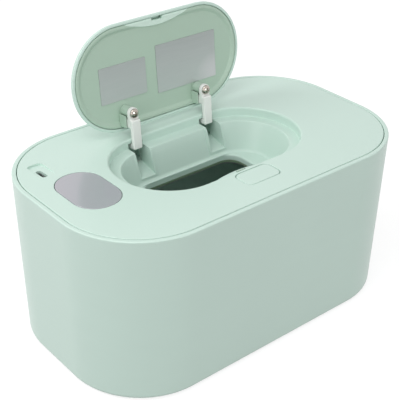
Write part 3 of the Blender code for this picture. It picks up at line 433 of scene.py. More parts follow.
def wallSection():
    c, base = casing, casing["foot"]
    section = [(casingInset(base) + c["baseEdge"] * share, base) for share in (2.2, 1.3)]
    section += bend((casingInset(base) + c["baseEdge"], base), (casingInset(base), base),
                    (casingInset(base + c["baseEdge"]), base + c["baseEdge"]), 8)
    for share in (0.25, 0.5, 0.75, 0.96):
        z = base + (top - base) * share
        section.append((casingInset(z), z))
    section += bend((0.0, top - c["rimEdge"]), (0.0, top), (c["rimEdge"], top), 6)
    section += bend((c["wall"] - c["rimInnerEdge"], top), (c["wall"], top),
                    (c["wall"], top - c["rimInnerEdge"]), 4)
    shoulder = top - c["shoulderDepth"]
    low = shoulder - c["shoulderHeight"]
    inner = c["wall"] + c["shoulderWidth"]
    section += [(c["wall"], shoulder), (inner - 0.3, shoulder), (inner, shoulder - 0.3), (inner, low),
                (c["wall"] + casingInset(low), low - c["shoulderSlope"])]
    floor = base + c["floor"]
    foot = casingInset(floor) + c["wall"]
    section += bend((foot, floor + 2.0), (foot, floor), (foot + 2.0, floor), 5)
    return section + [(foot + 6.0, floor)]


def sweepTree():
    # Sweeps the wall section round a rounded outline, fills the two open ends and joins them.
    tree = bpy.data.node_groups.new("swept casing", "GeometryNodeTree")
    face = tree.interface
    for name, kind in (("Section", "NodeSocketObject"), ("Length", "NodeSocketFloat"),
                       ("Depth", "NodeSocketFloat"),
                       ("Corner", "NodeSocketFloat"), ("Corner Points", "NodeSocketInt"),
                       ("Under Inset", "NodeSocketFloat"), ("Under Height", "NodeSocketFloat"),
                       ("Floor Inset", "NodeSocketFloat"), ("Floor Height", "NodeSocketFloat"),
                       ("Material", "NodeSocketMaterial")):
        face.new_socket(name, in_out="INPUT", socket_type=kind)
    face.new_socket("Geometry", in_out="OUTPUT", socket_type="NodeSocketGeometry")
    start = Wire(tree)
    given = tree.nodes.new("NodeGroupInput")
    size = {socket.name: Wire(tree, socket) for socket in given.outputs if socket.name}

    def outline(inset):
        sides = start.node("GeometryNodeCurvePrimitiveQuadrilateral", {},
                           {"Width": size["Length"] - inset * 2, "Height": size["Depth"] - inset * 2})
        return start.node("GeometryNodeFilletCurve", {"mode": "POLY"},
                          {"Curve": sides, "Radius": size["Corner"] - inset, "Count": size["Corner Points"]})

    section = start.node("GeometryNodeObjectInfo", {}, {"Object": size["Section"]}, "Geometry")
    wall = start.node("GeometryNodeCurveToMesh", {}, {"Curve": outline(Wire(tree, start.node(
        "ShaderNodeValue").socket)), "Profile Curve": section})
    ends = []
    for inset, height, turned in (("Under Inset", "Under Height", True),
                                  ("Floor Inset", "Floor Height", False)):
        filled = start.node("GeometryNodeFillCurve", {"mode": "NGONS"}, {"Curve": outline(size[inset])})
        rise = start.node("ShaderNodeCombineXYZ", {}, {"Z": size[height]})
        placed = start.node("GeometryNodeTransform", {}, {"Geometry": filled, "Translation": rise})
        ends.append(start.node("GeometryNodeFlipFaces", {}, {"Mesh": placed}) if turned else placed)
    joined = start.node("GeometryNodeJoinGeometry", {}, {"Geometry": [wall] + ends})
    welded = start.node("GeometryNodeMergeByDistance", {}, {"Geometry": joined, "Distance": 0.02 * mm})
    real = start.node("GeometryNodeRealizeInstances", {}, {"Geometry": welded})
    coated = start.node("GeometryNodeSetMaterial", {}, {"Geometry": real, "Material": size["Material"]})
    start.node("NodeGroupOutput", {}, {"Geometry": coated})
    return tree


def runTree(name, tree, values, host=None):
    # Puts the tree on a piece, sets its inputs by their identifiers, and keeps the result as a mesh.
    piece = host or bpy.data.objects.new(name, bpy.data.meshes.new(name))
    if not host:
        bpy.context.scene.collection.objects.link(piece)
    change = piece.modifiers.new(name, "NODES")
    change.node_group = tree
    for item in tree.interface.items_tree:
        if item.in_out == "INPUT" and item.name in values:
            change[item.identifier] = values[item.name]
    bpy.context.view_layer.update()
    data = bpy.data.meshes.new_from_object(piece.evaluated_get(bpy.context.evaluated_depsgraph_get()))
    bpy.data.objects.remove(piece)
    made = bpy.data.objects.new(name, data)
    bpy.context.scene.collection.objects.link(made)
    return made


def polyCurve(name, points):
    curve = bpy.data.curves.new(name, "CURVE")
    curve.dimensions = "3D"
    line = curve.splines.new("POLY")
    line.points.add(len(points) - 1)
    for target, point in zip(line.points, points):
        target.co = (point[0] * mm, point[1] * mm, point[2] * mm, 1.0)
    piece = bpy.data.objects.new(name, curve)
    bpy.context.scene.collection.objects.link(piece)
    return piece


def turnOutward(piece):
    source = bmesh.new()
    source.from_mesh(piece.data)
    bmesh.ops.remove_doubles(source, verts=source.verts, dist=0.01 * mm)
    bmesh.ops.recalc_face_normals(source, faces=source.faces)
    if source.calc_volume(signed=True) < 0:
        bmesh.ops.reverse_faces(source, faces=source.faces)
    loose = sum(1 for edge in source.edges if len(edge.link_faces) != 2)
    source.to_mesh(piece.data)
    source.free()
    if loose:
        print(piece.name, "has", loose, "open edges")
    return piece


def paintInnerShade(shell):
    # The faces inside the casing get a darker, duller mint: painted shade for the dark inside.
    shell.data.materials.append(finishes["inner"])
    for face in shell.data.polygons:
        inward = face.normal.x * face.center.x + face.normal.y * face.center.y < 0
        onFloor = face.normal.z > 0.5 and face.center.z < 0.02
        if face.center.z < (top - 4.0) * mm and (inward or onFloor):
            face.material_index = 1
    return shell


def makeCasing():
    section = wallSection()
    line = polyCurve("wall section", [(-inset, -z, 0.0) for inset, z in section])
    c = casing
    shell = runTree("casingShell", sweepTree(), {
        "Section": line, "Length": c["length"] * mm, "Depth": c["depth"] * mm, "Corner": c["corner"] * mm,
        "Corner Points": 28, "Under Inset": section[0][0] * mm, "Under Height": section[0][1] * mm,
        "Floor Inset": section[-1][0] * mm, "Floor Height": section[-1][1] * mm, "Material": finishes["shell"]})
    bpy.data.objects.remove(line)
    turnOutward(shell)
    pockets = []
    for x, y in footPlaces():
        pockets.append(rod("foot pocket", (x, y, 0.45), (0, 0, 1), c["footRadius"] + 0.3,
                           2 * (c["footHeight"] - 0.15)))
    carve(shell, *pockets)
    return ride(paintInnerShade(smoothOver(shell)), "casing", "mint_shell", "outer_casing")


def footPlaces():
    return [(x * casing["footX"], y * casing["footY"]) for x in (-1, 1) for y in (-1, 1)]


# Repeats: one form set on many points

def repeatTree():
    tree = bpy.data.node_groups.new("set on points", "GeometryNodeTree")
    face = tree.interface
    for name, kind in (("Geometry", "NodeSocketGeometry"), ("Form", "NodeSocketObject"),
                       ("Random Turn", "NodeSocketFloat"), ("Seed", "NodeSocketInt"),
                       ("Material", "NodeSocketMaterial")):
        face.new_socket(name, in_out="INPUT", socket_type=kind)
    face.new_socket("Geometry", in_out="OUTPUT", socket_type="NodeSocketGeometry")
    start = Wire(tree)
    given = tree.nodes.new("NodeGroupInput")
    size = {socket.name: Wire(tree, socket) for socket in given.outputs if socket.name}
    form = start.node("GeometryNodeObjectInfo", {}, {"Object": size["Form"]}, "Geometry")
    spin = start.node("FunctionNodeRandomValue", {"data_type": "FLOAT"},
                      {2: 0.0, 3: size["Random Turn"], "Seed": size["Seed"]}, 1)
    turn = start.node("ShaderNodeCombineXYZ", {}, {"Z": spin})
    placed = start.node("GeometryNodeInstanceOnPoints", {},
                        {"Points": size["Geometry"], "Instance": form, "Rotation": turn})
    real = start.node("GeometryNodeRealizeInstances", {}, {"Geometry": placed})
    coated = start.node("GeometryNodeSetMaterial", {}, {"Geometry": real, "Material": size["Material"]})
    start.node("NodeGroupOutput", {}, {"Geometry": coated})
    return tree


setOnPoints = repeatTree()


def repeated(name, form, places, finish, turn=6.283, seed=4):
    points = bpy.data.meshes.new(name)
    points.from_pydata([tuple(part * mm for part in place) for place in places], [], [])
    host = bpy.data.objects.new(name + " points", points)
    bpy.context.scene.collection.objects.link(host)
    made = runTree(name, setOnPoints, {"Form": form, "Random Turn": turn, "Seed": seed,
                                       "Material": finishes[finish]}, host)
    bpy.data.objects.remove(form)
    return made


def makeFeet():
    r, h = casing["footRadius"], casing["footHeight"]
    profile = [(0.0, h), (r, h)] + bend((r, 0.4), (r, 0.0), (r - 0.4, 0.0), 3)
    for ring in (0.78, 0.56, 0.34):  # grip rings under the foot
        profile += [(r * ring + 0.25, 0.0), (r * ring + 0.1, 0.25), (r * ring - 0.1, 0.25),
                    (r * ring - 0.25, 0.0)]
    profile += [(0.0, 0.0)]
    form = turnedForm("foot form", profile)
    turnOutward(form)
    smoothOver(form)
    feet = repeated("rubberFeet", form, [(x, y, 0.0) for x, y in footPlaces()], "rubber")
    return ride(feet, "casing", "foot_rubber", "foot_front_left", "foot_front_right", "foot_rear_left",
                "foot_rear_right")


# Top cover

cover = {
    "inset": 3.0, "edge": 0.5, "plate": 2.2, "flange": 2.6, "skirtInset": 5.7, "skirtWall": 2.0, "skirtDepth": 14.0,
    "seatX": 62.3, "seatY": 34.1, "middleY": 0.5, "seatDepth": 6.0, "seatEdge": 1.3, "seatFillet": 0.5,
    "ledge": 6.6, "ledgeEdge": 0.6, "wall": 2.0, "bowlDepth": 24.2, "taper": 6.4, "bowlFoot": 1.6,
    "mouthX": 37.5, "mouthY": 20.2, "mouthRadius": 10.0, "lip": 1.0, "throatDepth": 28.2,
    "crescentWidth": 19.0, "crescentReach": 3.2, "crescentDrop": 0.3, "crescentDepth": 15.0,
    "channelHalf": 4.4, "channelFront": -31.55, "channelRear": -27.95, "channelDepth": 18.0,
}
hinge = {"x": 27.2, "y": 41.0, "depth": 5.7, "openAngle": 95.7, "notch": 5.3, "pocket": 7.3, "wall": 1.6,
         "roofDepth": 2.8, "floorDepth": 17.5, "backY": 45.5, "frontDepth": 20.9, "pin": 1.45}


def coverRing(inset, depth):
    return lifted(casingOutline(inset), top - depth)


def seatRing(growth, depth):
    reachY = cover["seatY"] + growth
    return lifted(rounded(cover["seatX"] + growth, reachY, reachY - 0.4, (0.0, cover["middleY"])),
                  top - depth)


def mouthRing(growth, depth):
    return lifted(rounded(cover["mouthX"] + growth, cover["mouthY"] + growth, cover["mouthRadius"] + growth,
                          (0.0, cover["middleY"])), top - depth)


def coverRings():
    c = cover
    rim, foot, under = -c["ledge"], -c["ledge"] - c["taper"], c["bowlDepth"] + c["wall"]
    slope = c["taper"] / (c["bowlDepth"] - c["bowlFoot"] - c["seatDepth"] - c["ledgeEdge"])
    rings = [coverRing(c["inset"], c["flange"])]
    rings += [coverRing(*p) for p in bend((c["inset"], c["edge"]), (c["inset"], 0),
                                          (c["inset"] + c["edge"], 0), 5)]
    rings += [coverRing(c["inset"] + c["edge"] + 0.6, 0.0), seatRing(c["seatEdge"] + 0.6, 0.0)]
    rings += [seatRing(*p) for p in bend((c["seatEdge"], 0), (0, 0), (0, c["seatEdge"]), 7)]
    rings += [seatRing(*p) for p in bend((0, c["seatDepth"] - c["seatFillet"]), (0, c["seatDepth"]),
                                         (-c["seatFillet"], c["seatDepth"]), 4)]
    rings += [seatRing(*p) for p in bend((rim + c["ledgeEdge"], c["seatDepth"]), (rim, c["seatDepth"]),
                                         (rim - slope * c["ledgeEdge"], c["seatDepth"] + c["ledgeEdge"]), 5)]
    rings += [seatRing(*p) for p in bend((foot, c["bowlDepth"] - c["bowlFoot"]),
                                         (foot - slope * c["bowlFoot"], c["bowlDepth"]),
                                         (foot - slope * c["bowlFoot"] - c["bowlFoot"], c["bowlDepth"]), 6)]
    rings += [mouthRing(*p) for p in bend((0.3, c["bowlDepth"]), (-c["lip"], c["bowlDepth"]),
                                          (-c["lip"], c["bowlDepth"] + 1.3), 6)]
    outer = c["wall"] - c["lip"]
    rings += [mouthRing(-c["lip"], c["throatDepth"] - 0.3), mouthRing(0.3 - c["lip"], c["throatDepth"]),
              mouthRing(outer - 0.3, c["throatDepth"]), mouthRing(outer, c["throatDepth"] - 0.3),
              mouthRing(outer, under), seatRing(foot + c["wall"], under), seatRing(foot + c["wall"],
                                                                                   c["bowlDepth"]),
              seatRing(rim + c["wall"], c["seatDepth"] + c["wall"]), seatRing(c["wall"],
                                                                              c["seatDepth"] + c["wall"]),
              seatRing(c["wall"], c["plate"]), coverRing(c["skirtInset"] + c["skirtWall"], c["plate"]),
              coverRing(c["skirtInset"] + c["skirtWall"], c["skirtDepth"]), coverRing(c["skirtInset"],
                                                                                      c["skirtDepth"]),
              coverRing(c["skirtInset"], c["flange"])]
    return rings


def crescentOutline(halfWidth, reach, edgeY, embed, steps=30):
    radius = (halfWidth ** 2 + reach ** 2) / (2 * reach)
    spread = math.asin(halfWidth / radius)
    arc = []
    for step in range(steps + 1):
        angle = spread * (1 - 2 * step / steps)
        arc.append((radius * math.sin(angle), edgeY + reach - radius + radius * math.cos(angle)))
    return arc + [(-halfWidth, edgeY - embed), (halfWidth, edgeY - embed)]


def sidePrism(name, outline, lowX, highX, finish=None):
    return loft(name, [[(lowX, y, z) for y, z in outline], [(highX, y, z) for y, z in outline]], finish)


def flaredCutter(name, grown, round, depth):
    # Cuts a hole through the plate and rounds its upper edge.
    rings = [lifted(grown(round * 0.83 + 1.0), top + 1.0), lifted(grown(round * 0.83 + 1.0), top + 0.176)]
    for step in range(1, 7):
        angle = math.radians(10 + 80 * (step - 1) / 5)
        rings.append(lifted(grown(round * (1 - math.sin(angle))), top - round * (1 - math.cos(angle))))
    return loft(name, rings + [lifted(grown(0.0), top - depth)])


def addCrescent(piece):
    c = cover
    edgeY = c["middleY"] - c["seatY"] + c["ledge"]
    high, low = top - c["seatDepth"] - c["crescentDrop"], top - c["crescentDepth"]
    rings = []
    for shrink, drop in ((0.7, 0.0), (0.35, 0.1), (0.1, 0.35), (0.0, 0.7)):
        outline = crescentOutline(c["crescentWidth"] - shrink, c["crescentReach"] - shrink, edgeY, 0.6)
        rings.append(lifted(outline, high - drop))
    rings.append(lifted(crescentOutline(c["crescentWidth"], c["crescentReach"], edgeY, 0.6), low))
    carve(piece, loft("crescent", rings), how="UNION")
    carve(piece, block("hook channel", (-c["channelHalf"], c["channelFront"], top - c["channelDepth"]),
                       (c["channelHalf"], c["channelRear"], top - c["seatDepth"] + 2.0)))


def addPockets(piece):
    c, h = cover, hinge
    wallY = c["middleY"] + c["seatY"]
    frontY = wallY - c["ledge"] - c["taper"]
    for side in (-1, 1):
        middle, outer = side * h["x"], h["pocket"] + h["wall"]
        house = block("pocket house", (middle - outer, wallY + 0.4, top - h["floorDepth"] - h["wall"]),
                      (middle + outer, h["backY"] + h["wall"], top - 1.1))
        apron = sidePrism("pocket apron", [
            (wallY + h["wall"], top - 7.0), (wallY + h["wall"], top - h["floorDepth"] - 1.45),
            (frontY, top - h["frontDepth"] - h["wall"]), (frontY, top - h["frontDepth"]),
            (wallY - c["ledge"] - 1.0,
             top - 7.0)], middle - h["notch"] - h["wall"], middle + h["notch"] + h["wall"])
        carve(piece, house, apron, how="UNION")
        tunnel = block("pocket tunnel", (middle - h["pocket"], wallY + h["wall"], top - h["floorDepth"]),
                       (middle + h["pocket"], h["backY"], top - h["roofDepth"]))
        slot = block("pocket slot", (middle - h["notch"], wallY - 1.6, top - h["floorDepth"]),
                     (middle + h["notch"], wallY + h["wall"] + 2.0, top - h["roofDepth"]))
        notch = sidePrism("notch", [
            (wallY, top - c["seatDepth"] + 0.3), (wallY, top - h["floorDepth"]),
            (frontY - 2.0, top - h["frontDepth"] - 0.5), (frontY - 2.0, top - c["seatDepth"] + 0.3)],
            middle - h["notch"], middle + h["notch"])
        bore = rod("pin bore", (middle, h["y"], top - h["depth"]), (1, 0, 0), h["pin"], 2 * (outer + 2),
                   sides=24)
        carve(piece, tunnel, slot, notch, bore)


button = {"halfX": 12.3, "halfY": 6.87, "middle": (0.0, -43.1), "corner": 4.0, "gap": 0.4, "edge": 0.6,
          "skirt": 5.5, "top": 1.6}
window = {"halfX": 13.85, "halfY": 20.8, "middle": (-83.35, 0.6), "corner": 13.2, "gap": 0.3, "edge": 0.45,
          "lip": 1.5, "lipDepth": 2.5, "lipThickness": 1.0}
inlet = {"middle": (-93.4, 31.3), "slotX": 1.7, "slotY": 4.72, "low": (-96.8, 25.4), "high": (-87.3, 42.8),
         "deep": 1.2, "corner": 2.5, "halfX": 1.6, "halfY": 4.5, "wall": 0.3, "lowDepth": 9.7, "highDepth": 2.5}


def cutPlate(piece):
    b, w, n = button, window, inlet

    def wellOutline(growth):
        grown = b["gap"] + growth
        return rounded(b["halfX"] + grown, b["halfY"] + grown, b["corner"] + grown, b["middle"], 12)

    def windowOutline(growth):
        grown = w["gap"] + growth
        return rounded(w["halfX"] + grown, w["halfY"] + grown, w["corner"] + grown, w["middle"], 20)

    carve(piece, flaredCutter("button well", wellOutline, 0.35, 4.0),
          flaredCutter("window opening", windowOutline, 0.3, 4.0))
    middle = [(n["low"][k] + n["high"][k]) / 2 for k in range(2)]
    reach = [(n["high"][k] - n["low"][k]) / 2 for k in range(2)]
    outline = rounded(reach[0], reach[1], n["corner"], middle, 10)
    rise = n["deep"] / (2 * reach[1])
    floor = [(x, y, top - max(0.0, (y - n["low"][1]) * rise)) for x, y in outline]
    recess = loft("inlet recess", [lifted(outline, top + 0.6), floor])
    slot = loft("inlet slot", [lifted(rounded(n["slotX"], n["slotY"], n["slotX"] - 0.05, n["middle"], 10),
                                      top + z)
                               for z in (2.0, -4.0)])
    carve(piece, recess, slot)


bosses = {
    "root": 1.1, "boreRadius": 1.35, "boreShorter": 2.5, "boreLower": 1.0,
    "cover": {"radius": 3.0, "depth": 14.0, "places": [(-81.5, -50.3), (-81.5, 50.3), (81.5, -50.3),
                                                       (81.5, 50.3),
                                                       (0.0, -55.4), (0.0, 55.4)]},
    "bracket": {"radius": 2.4, "depth": 12.6, "places": [(-17.5, -41.0), (17.5, -41.0)]},
    "board": {"radius": 2.4, "depth": 9.7, "places": [(-77.5, -27.2), (-73.5, 30.0)]},
}


def addBosses(piece):
    s = bosses
    for kind in (s["cover"], s["bracket"], s["board"]):
        radius, depth = kind["radius"], kind["depth"]
        middle = top - (s["root"] + depth) / 2
        for x, y in kind["places"]:
            carve(piece, rod("boss", (x, y, middle), (0, 0, 1), radius, depth - s["root"], sides=28),
                  how="UNION")
            carve(piece, rod("boss bore", (x, y, middle - s["boreLower"]), (0, 0, 1), s["boreRadius"],
                             depth - s["boreShorter"], sides=20))


def makeCover():
    piece = loft("coverPlate", coverRings(), "shell", closed=True)
    addCrescent(piece)
    addPockets(piece)
    cutPlate(piece)
    addBosses(piece)
    return ride(smoothOver(piece), "cover", "mint_shell", "top_cover")


# Things set into the cover

def makeWindow():
    w = window

    def ring(growth, depth):
        return lifted(rounded(w["halfX"] + growth, w["halfY"] + growth, w["corner"] + growth, w["middle"],
                              20),
                      top - depth)

    rings = [ring(w["lip"], w["lipDepth"] + w["lipThickness"]), ring(w["lip"], w["lipDepth"]),
             ring(0, w["lipDepth"])]
    rings += [ring(*p) for p in bend((0, w["edge"]), (0, 0), (-w["edge"], 0), 5)]
    rings += [ring(-w["edge"] - 0.5, 0.0)]
    return ride(smoothOver(loft("windowPane", rings, "window")), "cover", "window_grey", "display_window")


def makeButton():
    b = button

    def ring(growth, depth):
        return lifted(rounded(b["halfX"] + growth, b["halfY"] + growth, b["corner"] + growth, b["middle"],
                              12),
                      top - depth)

    rings = [ring(-1.3, b["top"]), ring(-1.3, b["skirt"]), ring(0, b["skirt"])]
    rings += [ring(*p) for p in bend((0, b["edge"]), (0, 0), (-b["edge"], 0), 5)]
    rings += [ring(-b["edge"] - 0.6, 0.0)]
    piece = loft("pushButton", rings, "shell")
    y = b["middle"][1]
    tabs = [block("tab", (min(a, c), y - 1.4, top - 3.6), (max(a, c), y + 1.4, top - 2.5))
            for a, c in ((-11.6, -13.7), (11.6, 13.7))]
    foot, depth, slope = -40.8, 12.6, 0.25 * 5.1
    post = sidePrism("post", [(foot, top - depth), (foot + 3.0, top - depth), (foot + 3.0 - slope, top - 7.5),
                              (foot + 3.0 - slope, top - 0.8), (foot - slope, top - 0.8), (foot - slope,
                                                                                           top - 7.5)],
                     -3.0, 3.0)
    pegs = [rod("peg", (x, y, top - 1.6), (0, 0, 1), 1.1, 2.4, sides=20) for x in (-8.3, 8.3)]
    carve(piece, *tabs, post, *pegs, how="UNION")
    return ride(smoothOver(piece), "button", "mint_shell", "button")


def makeInlet():
    n = inlet
    low, high = top - n["lowDepth"], top - n["highDepth"]
    outer = rounded(n["halfX"], n["halfY"], n["halfX"] - 0.1, n["middle"], 10)
    inner = rounded(n["halfX"] - n["wall"], n["halfY"] - n["wall"], n["halfX"] - n["wall"] - 0.1, n["middle"],
                    10)
    shell = loft("socketShell", [lifted(inner, low + 1.6), lifted(inner, high - 0.1), lifted(outer, high),
                                 lifted(outer, low)], "socket")
    turnOutward(shell)
    x, y = n["middle"]
    tongue = bevelled(block("socketTongue", (x - 0.4, y - 3.3, low + 1.65), (x + 0.4, y + 3.3, high - 0.8),
                            "black"), 0.1)
    contacts = repeated("socketContacts", block("contact", (-0.03, -0.12, -2.0), (0.03, 0.12, 2.0)),
                        [(x - 0.42, y + 0.5 * step, high - 3.0) for step in range(-5, 6)], "plate", 0.0)
    for piece in (smoothOver(shell), smoothOver(tongue), contacts):
        ride(piece, "cover", "screw_steel", "power_inlet")
    return shell


# Small screws, springs and wires

def crossScrew(name, headRadius, headHeight, shankRadius, shankLength, finish=None):
    # A screw pointing down, with the top of its seat at the origin and its head above.
    head = bend((0.0, headHeight), (headRadius, headHeight), (headRadius, 0.15), 9)
    profile = head + [(headRadius, 0.0), (shankRadius, 0.0)]
    turns = int(shankLength / 0.7)
    for step in range(turns):
        z = -0.5 - step * 0.7
        profile += [(shankRadius - 0.15, z), (shankRadius, z - 0.2)]
    profile += [(shankRadius * 0.5, -shankLength), (0.0, -shankLength)]
    form = turnOutward(turnedForm(name, profile, finish, 36))
    bars = []
    for turn in (0, 90):
        bar = block("recess", (-headRadius * 0.52, -headRadius * 0.11, headHeight * 0.42),
                    (headRadius * 0.52, headRadius * 0.11, headHeight + 1.0))
        bars.append(shifted(bar, Matrix.Rotation(math.radians(turn + 0.01), 4, "Z")))
    carve(form, *bars)
    return smoothOver(form)


smallScrew = {"headRadius": 2.2, "headHeight": 1.3, "shankRadius": 1.0, "longShank": 8.0, "shortShank": 2.4}


def makeSmallScrews():
    s = smallScrew
    flip = Matrix.Rotation(math.pi, 4, "X")
    long = [f"cover_screw_{number}" for number in range(1, 7)]
    long += ["board_screw_1", "board_screw_2", "bracket_screw_left", "bracket_screw_right"]
    short = [f"heater_screw_{number}" for number in range(1, 5)]
    for name, chosen, length in (("smallScrews", long, s["longShank"]),
                                 ("heaterScrews", short, s["shortShank"])):
        form = shifted(crossScrew(name + " form", s["headRadius"], s["headHeight"], s["shankRadius"], length),
                       flip)
        boxes = [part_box(node) for node in chosen]
        places = [((low.x + high.x) / 2 / mm, (low.y + high.y) / 2 / mm, low.z / mm + s["headHeight"])
                  for low, high in boxes]
        ride(repeated(name, form, places, "screw"), "cover", "screw_steel", *chosen)


def wireTree():
    tree = bpy.data.node_groups.new("round wire", "GeometryNodeTree")
    face = tree.interface
    for name, kind in (("Geometry", "NodeSocketGeometry"), ("Radius", "NodeSocketFloat"),
                       ("Sides", "NodeSocketInt"),
                       ("Material", "NodeSocketMaterial")):
        face.new_socket(name, in_out="INPUT", socket_type=kind)
    face.new_socket("Geometry", in_out="OUTPUT", socket_type="NodeSocketGeometry")
    start = Wire(tree)
    given = tree.nodes.new("NodeGroupInput")
    size = {socket.name: Wire(tree, socket) for socket in given.outputs if socket.name}
    ring = start.node("GeometryNodeCurvePrimitiveCircle", {},
                      {"Resolution": size["Sides"], "Radius": size["Radius"]})
    tube = start.node("GeometryNodeCurveToMesh", {}, {"Curve": size["Geometry"], "Profile Curve": ring,
                                                      "Fill Caps": True})
    real = start.node("GeometryNodeRealizeInstances", {}, {"Geometry": tube})
    coated = start.node("GeometryNodeSetMaterial", {}, {"Geometry": real, "Material": size["Material"]})
    start.node("NodeGroupOutput", {}, {"Geometry": coated})
    return tree


roundWire = wireTree()


def wireAlong(name, points, radius, finish, sides=12):
    made = runTree(name, roundWire, {"Radius": radius * mm, "Sides": sides, "Material": finishes[finish]},
                   polyCurve(name + " path", points))
    return smoothOver(turnOutward(made), 50)


def makeHingeSprings():
    wire, radius, turns, pitch, perTurn = 0.3, 1.95, 2.75, 1.03, 24
    for side, label in ((-1, "Left"), (1, "Right")):
        startX = 3.1 + 0.35 + wire
        coil = []
        for step in range(int(turns * perTurn) + 1):
            angle = 2 * math.pi * step / perTurn
            coil.append((startX + pitch * step / perTurn, radius * math.sin(angle),
                         -radius * math.cos(angle)))
        sill = hinge["floorDepth"] - hinge["depth"] - 0.6
        leg = [(startX - 2.4, -5.7, -sill), (startX - 0.5, -5.7, -sill), (startX - 0.14, -5.7, -sill + 0.14),
               (startX, -5.7, -sill + 0.5), (startX, -5.7, -4.3), (startX, -5.55, -3.9), (startX, -5.2, -3.6)]
        path = [(side * (hinge["x"] - x), hinge["y"] + y, top - hinge["depth"] + z) for x, y, z in leg + coil]
        ride(wireAlong("hingeSpring" + label, path, wire, "wire"), "cover", "screw_steel",
             "lid_spring_" + label.lower())


buttonSpring = {"x": 8.3, "y": -43.1, "foot": 12.3, "head": 2.2, "radius": 1.9, "wire": 0.3,
                "turns": 6, "perTurn": 20, "travel": 2.0}


def makeButtonSprings():
    s = buttonSpring
    low, high, perTurn = top - s["foot"], top - s["head"], s["perTurn"]
    for x, label in ((-s["x"], "left"), (s["x"], "right")):
        coil = []
        for step in range(s["turns"] * perTurn + 1):
            angle = 2 * math.pi * step / perTurn
            coil.append((x + s["radius"] * math.cos(angle), s["y"] + s["radius"] * math.sin(angle),
                         low + (high - low) * step / (s["turns"] * perTurn)))
        spring = wireAlong("buttonSpring" + label.capitalize(), coil, s["wire"], "wire", 8)
        ride(spring, "cover", "screw_steel", "button_spring_" + label)
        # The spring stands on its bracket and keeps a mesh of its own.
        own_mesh(spring)


# Lid, made closed about its hinge axis and then swung open

lid = {
    "halfX": 61.7, "halfY": 32.4, "behind": 8.1, "thickness": 5.7, "edgeWidth": 1.0, "edgeHeight": 0.8, "dome": 9.0,
    "topWall": 2.0, "rim": 1.8, "cavitySide": 2.6, "cavitySlope": 2.5, "linerGap": 0.22, "bead": 2.13,
    "beadEdge": 0.9, "flank": 2.0, "recess": 0.9, "panel": 1.5, "side": 1.6, "slope": 1.3,
    "padHalf": 19.0, "padReach": 3.2, "padDrop": 0.05, "catchWidth": 4.0, "catchSlot": 1.8, "catchFront": 2.8,
    "bossRadius": 3.3, "bossHeight": 5.1, "bossRear": 12.4, "guideInner": 3.4, "guideWall": 1.0,
    "guideStart": 3.3, "guideEnd": 10.7, "guideHeight": 4.8,
}
swing = (Matrix.Translation(Vector((0, hinge["y"], top - hinge["depth"])) * mm)
         @ Matrix.Rotation(math.radians(-hinge["openAngle"]), 4, "X"))


def lidY(fromRear):
    return -lid["behind"] - fromRear


def lidRing(inset, drop, steps=28):
    reachY = lid["halfY"] - inset
    return lifted(rounded(lid["halfX"] - inset, reachY, reachY - 0.4, (0.0, lidY(lid["halfY"])), steps),
                  -drop)


def ellipse(start, end, corner, steps):
    # Points on a quarter of an ellipse from start to end, whose square corner is given.
    points = []
    for step in range(steps + 1):
        angle = math.pi / 2 * step / steps
        near, far = 1 - math.sin(angle), 1 - math.cos(angle)
        points.append(tuple(corner[k] + (start[k] - corner[k]) * near + (end[k] - corner[k]) * far for k in range(2)))
    return points


def hung(piece, slot, *nodes):
    return ride(shifted(piece, swing), "lid", slot, *nodes)


def makeLidTop():
    l = lid
    t, edge, inner = l["thickness"], l["edgeHeight"], l["rim"]
    profile = ellipse((l["dome"], -t), (0, -edge), (0, -t), 18)
    profile += ellipse((0, -edge), (l["edgeWidth"], 0), (0, 0), 7)[1:]
    profile += [(inner - 0.25, 0), (inner, -0.25), (inner, -l["cavitySide"]),
                (inner + l["cavitySlope"], -t + l["topWall"])]
    piece = loft("lidTop", [lidRing(*p) for p in profile], "shell")
    hung(smoothOver(piece), "mint_shell", "lid_shell")


